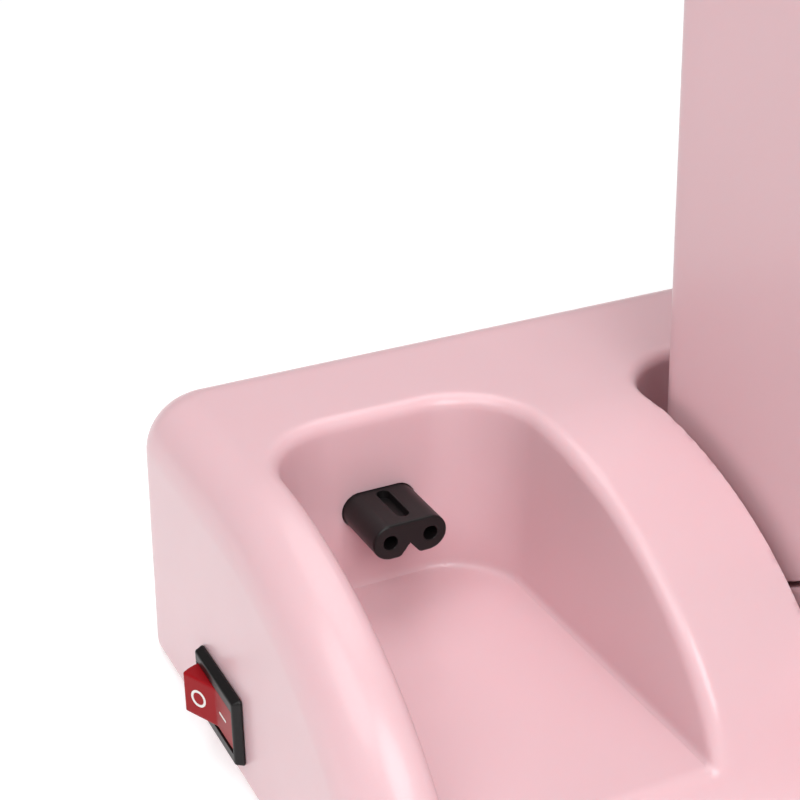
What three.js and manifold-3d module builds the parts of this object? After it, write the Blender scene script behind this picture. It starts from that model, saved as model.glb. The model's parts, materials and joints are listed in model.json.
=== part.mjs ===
// Clamshell donut maker that stands in a U-shaped power station.
// +X runs along the machine's rear edge to the right, +Y points to the rear, +Z is up.
// Work coordinates start at the table under the middle of the power outlet's front face;
// the finished group is moved so that its origin is the bottom centre of its box.
import * as THREE from 'three';
import { mergeVertices } from 'three/addons/utils/BufferGeometryUtils.js';
import Module from 'manifold-3d';

const wasm = await Module();
wasm.setup();

// ---- driving dimensions (millimetres, degrees where named) ----------------------------------

// shared walls and clearances
const WALL = 2.6;
const COVER_THICK = 2.4;
const TOUCH = 0.3;            // gap left between pieces that rest on each other
const FIT = 0.4;              // clearance round a piece that sits in a hole
const FOOT_HEIGHT = 2.5;

// clamshell: lid and lower body
const BODY_WIDTH = 192;
const BODY_DEPTH = 187;       // hinge axis to the front face
const LID_THICK = 46.5;         // at the rear edge
const LID_TAPER_DEG = 2.4;      // the lid grows thicker towards its front
const HINGE_Y = -52;
const HINGE_Z = 42.5;
const RIM_GAP = 0.8;          // between the two rims when the lid is shut
const SLOPE_DEG = 30;         // rear slope that the open lid leans on
const SLOPE_GAP = 1.2;
const SIDE_ROUND = 5;
const FRONT_CORNER = 22;
const RIM_SIDE = 9;
const RIM_REAR = 16;

// hinge
const KNUCKLE_RADIUS = 5.2;
const KNUCKLE_WIDTH = 10;
const KNUCKLE_GAP = 0.6;
const KNUCKLE_INSET = 16;     // side wall to the hinge's outer knuckle
const PIN_RADIUS = 2;
const PIN_HEAD_RADIUS = 3.4;

// baking plates
const PLATE_THICK = 4;
const PLATE_CLEAR = 0.6;
const PLATE_CORNER = 12;
const DONUT_RADIUS = 34;
const DONUT_HOLE = 9.5;       // radius of the post in the middle of a ring
const DONUT_DEPTH = 13;
const CUP_WALL = 3;
const DONUT_GAP_X = 8;        // between the outsides of two rings
const DONUT_GAP_Y = 4;
const RING_EDGE = 4;          // least distance from a ring to the plate's edge

// station housing
const DECK_HEIGHT = 60.5;
const NOSE_START = 1;         // y where the flat deck ends and the curved nose begins
const NOSE_REACH = 74.5;
const STATION_REAR = 48.5;
const STATION_POST_INSET = 9;     // station's side walls to its screw posts
const STATION_POST_REAR = 20.5;   // station's rear wall to the rear screw posts
const STATION_POST_FRONT = -46;
const EDGE_ROUND = 11;
const PLAN_CORNER = 14;
const SIDE_GAP = 2.5;         // lid to slot wall, each side
const SLOT_REAR = 12.5;
const SLOT_CORNER = 18;
const FLANK_WIDTH = 22.7;
const TONGUE_FRONT = -56;     // how far the bottom cover reaches under the clamshell

// accessory bay and outlet
const BAY_WIDTH = 50.5;
const BAY_REAR = 14.4;
const BAY_FLOOR = 21.5;
const BAY_CORNER = 16;
const BAY_TO_WALL = 15;       // bay side to the station's left face
const BAY_TO_SLOT = 25.75;    // bay side to the slot
const OUTLET_Z = 39.5;
const OUTLET_LOBE = 3.75;
const OUTLET_PITCH = 8.3;
const OUTLET_HOLE = 1.5;
const OUTLET_HOLE_PITCH = 8.6;
const OUTLET_NOTCH_HALF = 2.1;
const OUTLET_NOTCH_DEPTH = 2.6;
const OUTLET_TAIL = 9;        // behind the bay's rear wall
const OUTLET_FLANGE = 2;
const BRACKET_THICK = 3;

// rocker switch
const SWITCH_Y = -0.5;
const SWITCH_Z = 13.9;
const BEZEL_LENGTH = 21;
const BEZEL_HEIGHT = 15;
const BEZEL_PROUD = 2;
const SWITCH_BODY_DEPTH = 11.5;
const BEZEL_LIP = 1;          // how far the bezel covers the wall round its hole
const ROCKER_HEIGHT = 9;
const ROCKER_RADIUS = 9.2;
const ROCKER_CREST = 1.8;     // middle of the rocker, out from the wall
const ROCKER_DEG = 26;

// mains inlet
const INLET_X = 96;
const INLET_Z = 30;
const INLET_WIDTH = 24;
const INLET_HEIGHT = 17;
const INLET_DEPTH = 17;
const INLET_FLANGE = 4;

// handles and latch
const HANDLE_WIDTH = 84;
const HANDLE_REACH = 28;
const HANDLE_NEAR = 4;        // rim plane to the handle's near face
const HANDLE_THICK = 10;
const LATCH_WIDTH = 22;
const LATCH_AXIS_OUT = 32;    // front face to the latch axis
const LATCH_THICK = 3;
const LATCH_PIN_RADIUS = 1.5;
const LATCH_LUG_RADIUS = 4;

// heaters
const ELEMENT_RADIUS = 3.2;
const ELEMENT_EDGE_X = 45.4;  // plate's edge to the element's loop
const ELEMENT_EDGE_Y = 41.4;
const ELEMENT_BEND = 12;
const THERMOSTAT_RADIUS = 8;
const SHIELD_THICK = 0.8;
const SHIELD_DEPTH = 8;

// fasteners, feet and lamps
const SCREW_RADIUS = 1.5;
const SCREW_HEAD_RADIUS = 3;
const SCREW_HEAD_THICK = 1.4;
const SCREW_GRIP = 8;         // shank inside its post
const POST_RADIUS = 3.6;
const TAB_SIZE = 12;          // ledges under the plate screws
const FOOT_RADIUS = 8;
const VENT_WIDTH = 3;
const VENT_PITCH = 12;
const LAMP_RADIUS = 3.5;
const LAMP_PITCH = 18;

// wiring
const WIRE_RADIUS = 1.3;
const DUCT_WIDTH = 16;
const DUCT_HEIGHT = 6;
const DUCT_WALL = 1;

// ---- sizes that follow ----------------------------------------------------------------------

const radians = (degrees) => degrees * Math.PI / 180;
const SLOPE = Math.tan(radians(SLOPE_DEG));
const RIM = RIM_GAP / 2;
const COVER_TOP = FOOT_HEIGHT + COVER_THICK;
const BASE_BOTTOM = COVER_TOP + TOUCH;          // underside of the lower body
const BASE_DEPTH = HINGE_Z - BASE_BOTTOM;       // hinge axis down to that underside
const STATION_LEFT = -BAY_WIDTH / 2 - BAY_TO_WALL;
const SLOT_LEFT = BAY_WIDTH / 2 + BAY_TO_SLOT;
const SLOT_RIGHT = SLOT_LEFT + BODY_WIDTH + 2 * SIDE_GAP;
const STATION_RIGHT = SLOT_RIGHT + FLANK_WIDTH;
const BODY_MIDDLE = (SLOT_LEFT + SLOT_RIGHT) / 2;
const HALF = BODY_WIDTH / 2;
const LID_SEAM = SLOPE_GAP / Math.cos(radians(SLOPE_DEG)) - RIM;
const LID_REAR = LID_SEAM - SLOPE * LID_THICK;
const LID_TAPER = Math.tan(radians(LID_TAPER_DEG));
const lidDepth = (forward) => LID_THICK + LID_TAPER * (forward - LID_REAR);
const PLATE_WIDTH = BODY_WIDTH - 2 * RIM_SIDE - 2 * PLATE_CLEAR;
const PLATE_DEPTH = BODY_DEPTH - RIM_SIDE - RIM_REAR - 2 * PLATE_CLEAR;
const PLATE_MIDDLE = (RIM_REAR + BODY_DEPTH - RIM_SIDE) / 2;
const CUP_RADIUS = DONUT_RADIUS + CUP_WALL;
const CUP_BOTTOM = RIM + DONUT_DEPTH + CUP_WALL;
const RING_PITCH_X = 2 * CUP_RADIUS + DONUT_GAP_X;
const RING_PITCH_Y = 2 * CUP_RADIUS + DONUT_GAP_Y;
const RING_COLUMNS = 1 + Math.floor((PLATE_WIDTH - 2 * RING_EDGE - 2 * CUP_RADIUS) / RING_PITCH_X);
const RING_ROWS = 1 + Math.floor((PLATE_DEPTH - 2 * RING_EDGE - 2 * CUP_RADIUS) / RING_PITCH_Y);
// The plate's screws and thermostat sit between two rows of rings, or beside a single row.
const BETWEEN_ROWS = PLATE_MIDDLE + (RING_ROWS % 2 === 0 ? 0 : RING_PITCH_Y / 2);
const ELEMENT_DEPTH = CUP_BOTTOM + TOUCH + ELEMENT_RADIUS;
const SHIELD_TOP = ELEMENT_DEPTH + ELEMENT_RADIUS + TOUCH;
const FAR = 400;                                // longer than any piece
const BEVEL_SHARE = 0.9;                        // end bevels stay inside the rounded corners

// ---- shape helpers --------------------------------------------------------------------------

const X_AXIS = new THREE.Vector3(1, 0, 0);
const Y_AXIS = new THREE.Vector3(0, 1, 0);
const Z_AXIS = new THREE.Vector3(0, 0, 1);

// Turns a closed geometry into a solid that can be joined and cut.
function solid(geometry) {
  geometry.deleteAttribute('normal');
  geometry.deleteAttribute('uv');
  const merged = mergeVertices(geometry, 1e-4);
  return new wasm.Manifold(new wasm.Mesh({
    numProp: 3,
    vertProperties: new Float32Array(merged.attributes.position.array),
    triVerts: new Uint32Array(merged.index.array),
  }));
}

// The edges of an anticlockwise outline as inward normals and offsets, moved inwards.
function edgeLines(points, distance) {
  return points.map((p, i) => {
    const q = points[(i + 1) % points.length];
    const length = Math.hypot(q[0] - p[0], q[1] - p[1]);
    const normal = [-(q[1] - p[1]) / length, (q[0] - p[0]) / length];
    return { normal, offset: normal[0] * p[0] + normal[1] * p[1] + distance };
  });
}

// Moves every edge of a convex outline inwards and keeps its corners in order.
function inset(points, distance) {
  const lines = edgeLines(points, distance);
  return lines.map((b, i) => {
    const a = lines[(i + lines.length - 1) % lines.length];
    const det = a.normal[0] * b.normal[1] - a.normal[1] * b.normal[0];
    return [
      (a.offset * b.normal[1] - b.offset * a.normal[1]) / det,
      (a.normal[0] * b.offset - b.normal[0] * a.offset) / det,
    ];
  });
}

// The same for an outline whose short edges may vanish: what all the moved edges leave.
function clipped(points, distance) {
  let kept = rectangle(-FAR, FAR, -FAR, FAR);
  for (const { normal, offset } of edgeLines(points, distance)) {
    const side = (p) => normal[0] * p[0] + normal[1] * p[1] - offset;
    const next = [];
    kept.forEach((p, i) => {
      const q = kept[(i + 1) % kept.length];
      const a = side(p);
      const b = side(q);
      if (a >= 0) next.push(p);
      if (a * b < 0) next.push([p[0] + (q[0] - p[0]) * a / (a - b), p[1] + (q[1] - p[1]) * a / (a - b)]);
    });
    kept = next;
  }
  return kept;
}

// Rounds the corners of an outline; radii has one value per corner.
function rounded(points, radii, steps = 5) {
  const count = points.length;
  const out = [];
  points.forEach((p, i) => {
    const before = points[(i + count - 1) % count];
    const after = points[(i + 1) % count];
    const radius = radii[i];
    if (radius <= 0) {
      out.push(p);
      return;
    }
    const toBefore = new THREE.Vector2(before[0] - p[0], before[1] - p[1]).normalize();
    const toAfter = new THREE.Vector2(after[0] - p[0], after[1] - p[1]).normalize();
    const half = Math.acos(THREE.MathUtils.clamp(toBefore.dot(toAfter), -1, 1)) / 2;
    const reach = radius / Math.tan(half);
    const middle = toBefore.clone().add(toAfter).normalize().multiplyScalar(radius / Math.sin(half));
    const centre = [p[0] + middle.x, p[1] + middle.y];
    const start = Math.atan2(p[1] + toBefore.y * reach - centre[1], p[0] + toBefore.x * reach - centre[0]);
    const sweep = Math.PI - 2 * half;
    for (let k = 0; k <= steps; k += 1) {
      const angle = start + sweep * k / steps;
      out.push([centre[0] + radius * Math.cos(angle), centre[1] + radius * Math.sin(angle)]);
    }
  });
  return out;
}

const rectangle = (x0, x1, y0, y1) => [[x0, y0], [x1, y0], [x1, y1], [x0, y1]];

function extruded(points, length, options = {}) {
  const shape = new THREE.Shape(points.map((p) => new THREE.Vector2(p[0], p[1])));
  return new THREE.ExtrudeGeometry(shape, { depth: length, bevelEnabled: false, steps: 1, ...options });
}

// An outline in (x, y) raised along Z.
function prismZ(points, z0, z1) {
  return solid(extruded(points, z1 - z0).translate(0, 0, z0));
}

// An outline in (y, z) carried along X; edge rounds both ends.
function prismX(points, x0, x1, edge = 0) {
  const options = edge > 0
    ? { bevelEnabled: true, bevelThickness: edge, bevelSize: edge, bevelOffset: -edge, bevelSegments: 3 }
    : {};
  const geometry = extruded(points, x1 - x0 - 2 * edge, options);
  geometry.applyMatrix4(new THREE.Matrix4().makeBasis(Y_AXIS, Z_AXIS, X_AXIS));
  return solid(geometry.translate(x0 + edge, 0, 0));
}

// An outline in (x, z) carried along Y.
function prismY(points, y0, y1) {
  const geometry = extruded(points, y1 - y0);
  geometry.applyMatrix4(new THREE.Matrix4().makeBasis(X_AXIS, Z_AXIS, Y_AXIS.clone().negate()));
  return solid(geometry.translate(0, y1, 0));
}

function block(x0, x1, y0, y1, z0, z1) {
  const geometry = new THREE.BoxGeometry(x1 - x0, y1 - y0, z1 - z0);
  return solid(geometry.translate((x0 + x1) / 2, (y0 + y1) / 2, (z0 + z1) / 2));
}

// Round bars along each axis.
function rodZ(x, y, radius, z0, z1, sides = 20) {
  const geometry = new THREE.CylinderGeometry(radius, radius, z1 - z0, sides);
  return solid(geometry.rotateX(Math.PI / 2).translate(x, y, (z0 + z1) / 2));
}

function rodX(y, z, radius, x0, x1, sides = 20) {
  const geometry = new THREE.CylinderGeometry(radius, radius, x1 - x0, sides);
  return solid(geometry.rotateZ(Math.PI / 2).translate((x0 + x1) / 2, y, z));
}

function rodY(x, z, radius, y0, y1, sides = 20) {
  const geometry = new THREE.CylinderGeometry(radius, radius, y1 - y0, sides);
  return solid(geometry.translate(x, (y0 + y1) / 2, z));
}

// A closed (radius, height) profile turned about a line along Z.
function turned(profile, x, y, sides = 20) {
  const points = [...profile, profile[0]].map((p) => new THREE.Vector2(p[0], p[1]));
  return solid(new THREE.LatheGeometry(points, sides).rotateX(Math.PI / 2).translate(x, y, 0));
}

// A round bar bent along a route of straights and bends.
function bar(route, bend, radius, sides, steps) {
  const points = route.map((p) => new THREE.Vector3(...p));
  const path = new THREE.CurvePath();
  let last = points[0];
  for (let i = 1; i < points.length - 1; i += 1) {
    const corner = points[i];
    const entry = corner.clone().add(last.clone().sub(corner).setLength(bend));
    const exit = corner.clone().add(points[i + 1].clone().sub(corner).setLength(bend));
    path.add(new THREE.LineCurve3(last, entry));
    path.add(new THREE.QuadraticBezierCurve3(entry, corner, exit));
    last = exit;
  }
  path.add(new THREE.LineCurve3(last, points[points.length - 1]));
  const section = new THREE.Shape();
  for (let k = 0; k < sides; k += 1) {
    const angle = 2 * Math.PI * k / sides;
    const place = k === 0 ? 'moveTo' : 'lineTo';
    section[place](radius * Math.cos(angle), radius * Math.sin(angle));
  }
  return solid(new THREE.ExtrudeGeometry(section, { steps, extrudePath: path, bevelEnabled: false }));
}

// ---- scene graph ----------------------------------------------------------------------------

const PINK = { color: 0xe9bfc6, roughness: 0.32, metalness: 0 };
const BLACK = { color: 0x2a2829, roughness: 0.5, metalness: 0 };
const RED = { color: 0xb4262d, roughness: 0.35, metalness: 0 };
const RUBBER = { color: 0x3a393b, roughness: 0.9, metalness: 0 };
const STEEL = { color: 0xb8bbbf, roughness: 0.35, metalness: 1 };
const COATING = { color: 0x2f2c2d, roughness: 0.45, metalness: 0.3 };
const WHITE = { color: 0xdedad2, roughness: 0.6, metalness: 0 };
const GREEN = { color: 0x3f9a4c, roughness: 0.25, metalness: 0 };

const machine = new THREE.Group();
const station = new THREE.Group();
const base = new THREE.Group();
const lid = new THREE.Group();

// In base and lid, x runs across, y is the distance forward of the hinge axis and z the depth
// away from the rim plane, so both halves share one set of sizes.
base.position.set(BODY_MIDDLE, HINGE_Y, HINGE_Z);
base.rotation.set(Math.PI, 0, 0);
lid.position.set(BODY_MIDDLE, HINGE_Y, HINGE_Z);
lid.rotation.set(Math.PI / 2, 0, Math.PI, 'ZYX');
machine.add(station, base, lid);

function add(group, name, shape, look) {
  const { vertProperties, triVerts } = shape.getMesh();
  const geometry = new THREE.BufferGeometry();
  geometry.setAttribute('position', new THREE.BufferAttribute(new Float32Array(vertProperties), 3));
  geometry.setIndex(new THREE.BufferAttribute(new Uint32Array(triVerts), 1));
  geometry.computeVertexNormals();
  const mesh = new THREE.Mesh(geometry, new THREE.MeshStandardMaterial({ ...look, flatShading: true }));
  mesh.name = name;
  group.add(mesh);
}

// A screw whose head faces down; z0 is the head's underside and tip the shank's end.
function screw(x, y, z0, tip) {
  const head = rodZ(x, y, SCREW_HEAD_RADIUS, z0, z0 + SCREW_HEAD_THICK, 12);
  return head.add(rodZ(x, y, SCREW_RADIUS, z0 + SCREW_HEAD_THICK - 0.2, tip, 10));
}

// ---- station housing ------------------------------------------------------------------------

const NOSE_STEPS = 12;

// Side view of the housing: flat deck, rounded rear edge and a quarter-ellipse nose.
function stationProfile(shrink) {
  const top = DECK_HEIGHT - shrink;
  const reach = NOSE_REACH - shrink;
  const low = -EDGE_ROUND;
  const rear = STATION_REAR - shrink;
  const edge = EDGE_ROUND - shrink;
  const points = [[NOSE_START - reach, low], [rear, low]];
  for (let k = 0; k <= 5; k += 1) {
    const angle = radians(90 * k / 5);
    points.push([rear - edge + edge * Math.cos(angle), top - edge + edge * Math.sin(angle)]);
  }
  for (let k = 0; k <= NOSE_STEPS; k += 1) {
    const angle = radians(90 * k / NOSE_STEPS);
    points.push([NOSE_START - reach * Math.sin(angle), top * Math.cos(angle)]);
  }
  return points;
}

function stationPlan(shrink) {
  const corner = PLAN_CORNER - shrink;
  const outline = rectangle(
    STATION_LEFT + shrink, STATION_RIGHT - shrink, NOSE_START - NOSE_REACH + shrink, STATION_REAR - shrink);
  return rounded(outline, [corner, corner, corner, corner]);
}

function stationBody(shrink) {
  const profile = stationProfile(shrink);
  const round = (EDGE_ROUND - shrink) * BEVEL_SHARE;
  const body = prismX(profile, STATION_LEFT + shrink, STATION_RIGHT - shrink, round);
  return body.intersect(prismZ(stationPlan(shrink), shrink > 0 ? -FAR : FOOT_HEIGHT, FAR));
}

function bayPlan(grow) {
  const half = BAY_WIDTH / 2 + grow;
  const corner = BAY_CORNER + grow;
  return rounded(rectangle(-half, half, -FAR, BAY_REAR + grow), [0, 0, corner, corner], 6);
}

function slotPlan(grow) {
  const corner = SLOT_CORNER + grow;
  const outline = rectangle(SLOT_LEFT - grow, SLOT_RIGHT + grow, -FAR, SLOT_REAR + grow);
  return rounded(outline, [0, 0, corner, corner], 5);
}

const stationPosts = [
  [STATION_LEFT + STATION_POST_INSET, STATION_REAR - STATION_POST_REAR],
  [STATION_LEFT + STATION_POST_INSET, STATION_POST_FRONT],
  [STATION_RIGHT - STATION_POST_INSET, STATION_REAR - STATION_POST_REAR],
  [STATION_RIGHT - STATION_POST_INSET, STATION_POST_FRONT],
];

function stationCoverSpace(grow) {
  const plan = prismZ(stationPlan(WALL + FIT - grow), FOOT_HEIGHT - 5, COVER_TOP + grow);
  const front = block(
    SLOT_LEFT - WALL - FIT + grow, SLOT_RIGHT + WALL + FIT - grow, -FAR, TONGUE_FRONT - grow, -FAR, FAR);
  return plan.subtract(front);
}

function ductHole(y0, y1) {
  const halfWidth = DUCT_WIDTH / 2 + FIT;
  return block(BODY_MIDDLE - halfWidth, BODY_MIDDLE + halfWidth, y0, y1,
    BASE_BOTTOM + COVER_THICK, BASE_BOTTOM + COVER_THICK + DUCT_HEIGHT + 2 * FIT);
}

function stationShell() {
  const outer = stationBody(0);
  let shell = outer.subtract(stationBody(WALL));
  shell = shell.add(prismZ(bayPlan(WALL), BAY_FLOOR - WALL, FAR).intersect(outer));
  shell = shell.add(prismZ(slotPlan(WALL), FOOT_HEIGHT, FAR).intersect(outer));
  for (const [x, y] of stationPosts) {
    shell = shell.add(rodZ(x, y, POST_RADIUS, COVER_TOP + TOUCH, FAR, 12).intersect(outer));
  }
  shell = shell.subtract(prismZ(bayPlan(0), BAY_FLOOR, FAR));
  shell = shell.subtract(prismZ(slotPlan(0), -FAR, FAR));
  shell = shell.subtract(stationCoverSpace(TOUCH));
  for (const [x, y] of stationPosts) {
    shell = shell.subtract(rodZ(x, y, SCREW_RADIUS + TOUCH, -FAR, COVER_TOP + 13, 10));
  }
  shell = shell.subtract(outletHole(BAY_REAR - 4, BAY_REAR + WALL + 4));
  const halfLength = BEZEL_LENGTH / 2 - BEZEL_LIP;
  const halfHeight = BEZEL_HEIGHT / 2 - BEZEL_LIP;
  shell = shell.subtract(block(-FAR, STATION_LEFT + WALL + 4,
    SWITCH_Y - halfLength, SWITCH_Y + halfLength, SWITCH_Z - halfHeight, SWITCH_Z + halfHeight));
  shell = shell.subtract(block(INLET_X - INLET_WIDTH / 2 - FIT, INLET_X + INLET_WIDTH / 2 + FIT,
    STATION_REAR - WALL - 4, FAR,
    INLET_Z - INLET_HEIGHT / 2 - FIT, INLET_Z + INLET_HEIGHT / 2 + FIT));
  return shell.subtract(ductHole(SLOT_REAR - 4, SLOT_REAR + WALL + 4));
}

function stationCover() {
  let cover = stationCoverSpace(0).intersect(block(-FAR, FAR, -FAR, FAR, FOOT_HEIGHT, FAR));
  for (const [x, y] of [...stationPosts, ...tongueScrews]) {
    cover = cover.subtract(rodZ(x, y, SCREW_RADIUS + FIT, -FAR, FAR, 10));
  }
  for (let k = -2; k <= 2; k += 1) {
    const x = BODY_MIDDLE + k * VENT_PITCH;
    cover = cover.subtract(block(x - VENT_WIDTH / 2, x + VENT_WIDTH / 2,
      SLOT_REAR + 9, STATION_REAR - 9, -FAR, FAR));
  }
  return cover;
}

// ---- outlet ---------------------------------------------------------------------------------

function outletSection(y0, y1, grow) {
  const radius = OUTLET_LOBE + grow;
  const offset = OUTLET_PITCH / 2;
  let section = rodY(-offset, OUTLET_Z, radius, y0, y1, 24);
  section = section.add(rodY(offset, OUTLET_Z, radius, y0, y1, 24));
  return section.add(block(-offset, offset, y0, y1, OUTLET_Z - radius, OUTLET_Z + radius));
}

function outletHole(y0, y1) {
  return outletSection(y0, y1, FIT);
}

function outletConnector() {
  const tail = BAY_REAR + WALL + OUTLET_TAIL;
  let body = outletSection(0, tail, 0);
  const flangeStart = BAY_REAR + WALL + TOUCH;
  body = body.add(block(-11, 11, flangeStart, flangeStart + OUTLET_FLANGE, OUTLET_Z - 5.5, OUTLET_Z + 5.5));
  const under = OUTLET_Z - OUTLET_LOBE;
  const notchHalf = OUTLET_NOTCH_HALF * (1 + 1 / OUTLET_NOTCH_DEPTH);
  const notch = [[-notchHalf, under - 1], [notchHalf, under - 1], [0, under + OUTLET_NOTCH_DEPTH]];
  body = body.subtract(prismY(notch, -1, BAY_REAR - 1));
  const top = OUTLET_Z + OUTLET_LOBE;
  body = body.subtract(block(-1.3, 1.3, 2.4, BAY_REAR - 0.6, top - 1, top + 1));
  for (const side of [-1, 1]) {
    body = body.subtract(rodY(side * OUTLET_HOLE_PITCH / 2, OUTLET_Z, OUTLET_HOLE, -1, BAY_REAR - 3, 16));
  }
  return body;
}

function outletBracket() {
  const start = BAY_REAR + WALL + TOUCH + OUTLET_FLANGE + TOUCH;
  const bracket = block(-16, 16, start, start + BRACKET_THICK, OUTLET_Z - 9, OUTLET_Z + 9);
  return bracket.subtract(outletHole(start - 1, start + BRACKET_THICK + 1));
}

// ---- rocker switch --------------------------------------------------------------------------

function switchFrame() {
  const halfLength = BEZEL_LENGTH / 2;
  const halfHeight = BEZEL_HEIGHT / 2;
  const face = STATION_LEFT - BEZEL_PROUD;
  const rim = rounded(
    rectangle(SWITCH_Y - halfLength, SWITCH_Y + halfLength, SWITCH_Z - halfHeight, SWITCH_Z + halfHeight),
    [0.8, 0.8, 0.8, 0.8], 2);
  let frame = prismX(rim, face, STATION_LEFT - TOUCH);
  const bodyBack = STATION_LEFT + SWITCH_BODY_DEPTH;
  const bodyLength = halfLength - BEZEL_LIP - TOUCH;
  const bodyHeight = halfHeight - BEZEL_LIP - TOUCH;
  frame = frame.add(block(face + 0.5, bodyBack, SWITCH_Y - bodyLength, SWITCH_Y + bodyLength,
    SWITCH_Z - bodyHeight, SWITCH_Z + bodyHeight));
  const well = rodZ(STATION_LEFT, SWITCH_Y, ROCKER_RADIUS + TOUCH / 2,
    SWITCH_Z - ROCKER_HEIGHT / 2 - TOUCH, SWITCH_Z + ROCKER_HEIGHT / 2 + TOUCH, 48);
  frame = frame.subtract(well.intersect(block(-FAR, bodyBack - 1.5, -FAR, FAR, -FAR, FAR)));
  for (const side of [-1, 1]) {
    const y = SWITCH_Y + side * 5;
    frame = frame.add(block(bodyBack - 0.5, bodyBack + 0.6, y - 2.4, y + 2.4, SWITCH_Z - 0.4, SWITCH_Z + 0.4));
  }
  return frame;
}

// Seen from above: two flats meet in a shallow V, and both ends follow the pivot circle.
function switchRocker() {
  const tilt = radians(ROCKER_DEG / 2);
  const slope = Math.tan(tilt);
  const a = 1 + slope * slope;
  const b = ROCKER_CREST * slope;
  const c = ROCKER_CREST * ROCKER_CREST - ROCKER_RADIUS * ROCKER_RADIUS;
  const end = (-b + Math.sqrt(b * b - a * c)) / a;
  const endAngle = Math.atan2(end, ROCKER_CREST + slope * end);
  const backAngle = radians(118);
  const outline = [[ROCKER_CREST, 0]];
  for (const side of [1, -1]) {
    const arc = [];
    for (let k = 0; k <= 6; k += 1) {
      const angle = endAngle + (backAngle - endAngle) * k / 6;
      arc.push([ROCKER_RADIUS * Math.cos(angle), side * ROCKER_RADIUS * Math.sin(angle)]);
    }
    outline.push(...(side > 0 ? arc : arc.reverse()));
  }
  const placed = outline.map(([out, along]) => [
    STATION_LEFT - (out * Math.cos(tilt) + along * Math.sin(tilt)),
    SWITCH_Y + along * Math.cos(tilt) - out * Math.sin(tilt),
  ]).reverse();
  return prismZ(placed, SWITCH_Z - ROCKER_HEIGHT / 2, SWITCH_Z + ROCKER_HEIGHT / 2);
}

// ---- mains inlet, terminal block and wiring -------------------------------------------------

function mainsInlet() {
  const halfWidth = INLET_WIDTH / 2;
  const halfHeight = INLET_HEIGHT / 2;
  const face = STATION_REAR + TOUCH;
  const flange = rounded(rectangle(INLET_X - halfWidth - INLET_FLANGE, INLET_X + halfWidth + INLET_FLANGE,
    INLET_Z - halfHeight - INLET_FLANGE, INLET_Z + halfHeight + INLET_FLANGE), [3, 3, 3, 3], 3);
  let inlet = prismY(flange, face, face + 2);
  inlet = inlet.add(block(INLET_X - halfWidth, INLET_X + halfWidth, face - INLET_DEPTH, face + 1,
    INLET_Z - halfHeight, INLET_Z + halfHeight));
  const mouth = [
    [INLET_X - halfWidth + 1.5, INLET_Z - halfHeight + 1.5],
    [INLET_X + halfWidth - 1.5, INLET_Z - halfHeight + 1.5],
    [INLET_X + halfWidth - 1.5, INLET_Z + halfHeight - 5],
    [INLET_X + halfWidth - 5, INLET_Z + halfHeight - 1.5],
    [INLET_X - halfWidth + 5, INLET_Z + halfHeight - 1.5],
    [INLET_X - halfWidth + 1.5, INLET_Z + halfHeight - 5],
  ];
  inlet = inlet.subtract(prismY(mouth, face - INLET_DEPTH + 2, face + 9));
  for (const [x, z] of [[-7, -1.5], [0, 2], [7, -1.5]]) {
    inlet = inlet.add(block(INLET_X + x - 1, INLET_X + x + 1, face - INLET_DEPTH + 1, face - 3,
      INLET_Z + z - 2, INLET_Z + z + 2));
  }
  return inlet;
}

const TERMINAL_X = BODY_MIDDLE - 52;
const TERMINAL_Y = STATION_REAR - 21;
const TERMINAL_TOP = COVER_TOP + TOUCH + 10;

function terminalBlock() {
  let piece = block(TERMINAL_X, TERMINAL_X + 40, TERMINAL_Y, TERMINAL_Y + 12, COVER_TOP + TOUCH, TERMINAL_TOP);
  for (let k = 0; k < 4; k += 1) {
    const x = TERMINAL_X + 5 + k * 10;
    piece = piece.subtract(rodZ(x, TERMINAL_Y + 6, 2, TERMINAL_TOP - 4, FAR, 10));
  }
  return piece;
}

function wireDuct() {
  const low = BASE_BOTTOM + COVER_THICK + FIT;
  const left = BODY_MIDDLE - DUCT_WIDTH / 2;
  const right = BODY_MIDDLE + DUCT_WIDTH / 2;
  const front = HINGE_Y + LID_THICK - WALL - 2;
  const rear = SLOT_REAR + WALL + 2;
  const duct = block(left, right, front, rear, low, low + DUCT_HEIGHT);
  return duct.subtract(block(left + DUCT_WALL, right - DUCT_WALL, front - 1, rear + 1,
    low + DUCT_WALL, low + DUCT_HEIGHT - DUCT_WALL));
}

// A wire that leaves the terminal block and runs through the duct into the lower body.
function heaterWire(side) {
  const z = BASE_BOTTOM + COVER_THICK + FIT + DUCT_HEIGHT / 2;
  const x = BODY_MIDDLE + side * 3.5;
  const start = TERMINAL_X + 40 + TOUCH;
  const y = TERMINAL_Y + 6 + side * 2;
  return bar([[start, y, z], [x, y, z], [x, HINGE_Y + LID_THICK - 16, z]], 5, WIRE_RADIUS, 6, 20);
}

// ---- clamshell halves -----------------------------------------------------------------------

// Outlines in (forward, depth), anticlockwise.
function baseOutline() {
  const rear = -LID_THICK;
  return [
    [BODY_DEPTH, RIM], [BODY_DEPTH, BASE_DEPTH],
    [rear, BASE_DEPTH], [rear, RIM + SLOPE * LID_THICK], [0, RIM],
  ];
}

function lidOutline() {
  return [
    [BODY_DEPTH, RIM], [BODY_DEPTH, lidDepth(BODY_DEPTH)],
    [LID_REAR, LID_THICK], [LID_SEAM - SLOPE * RIM, RIM],
  ];
}

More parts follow.
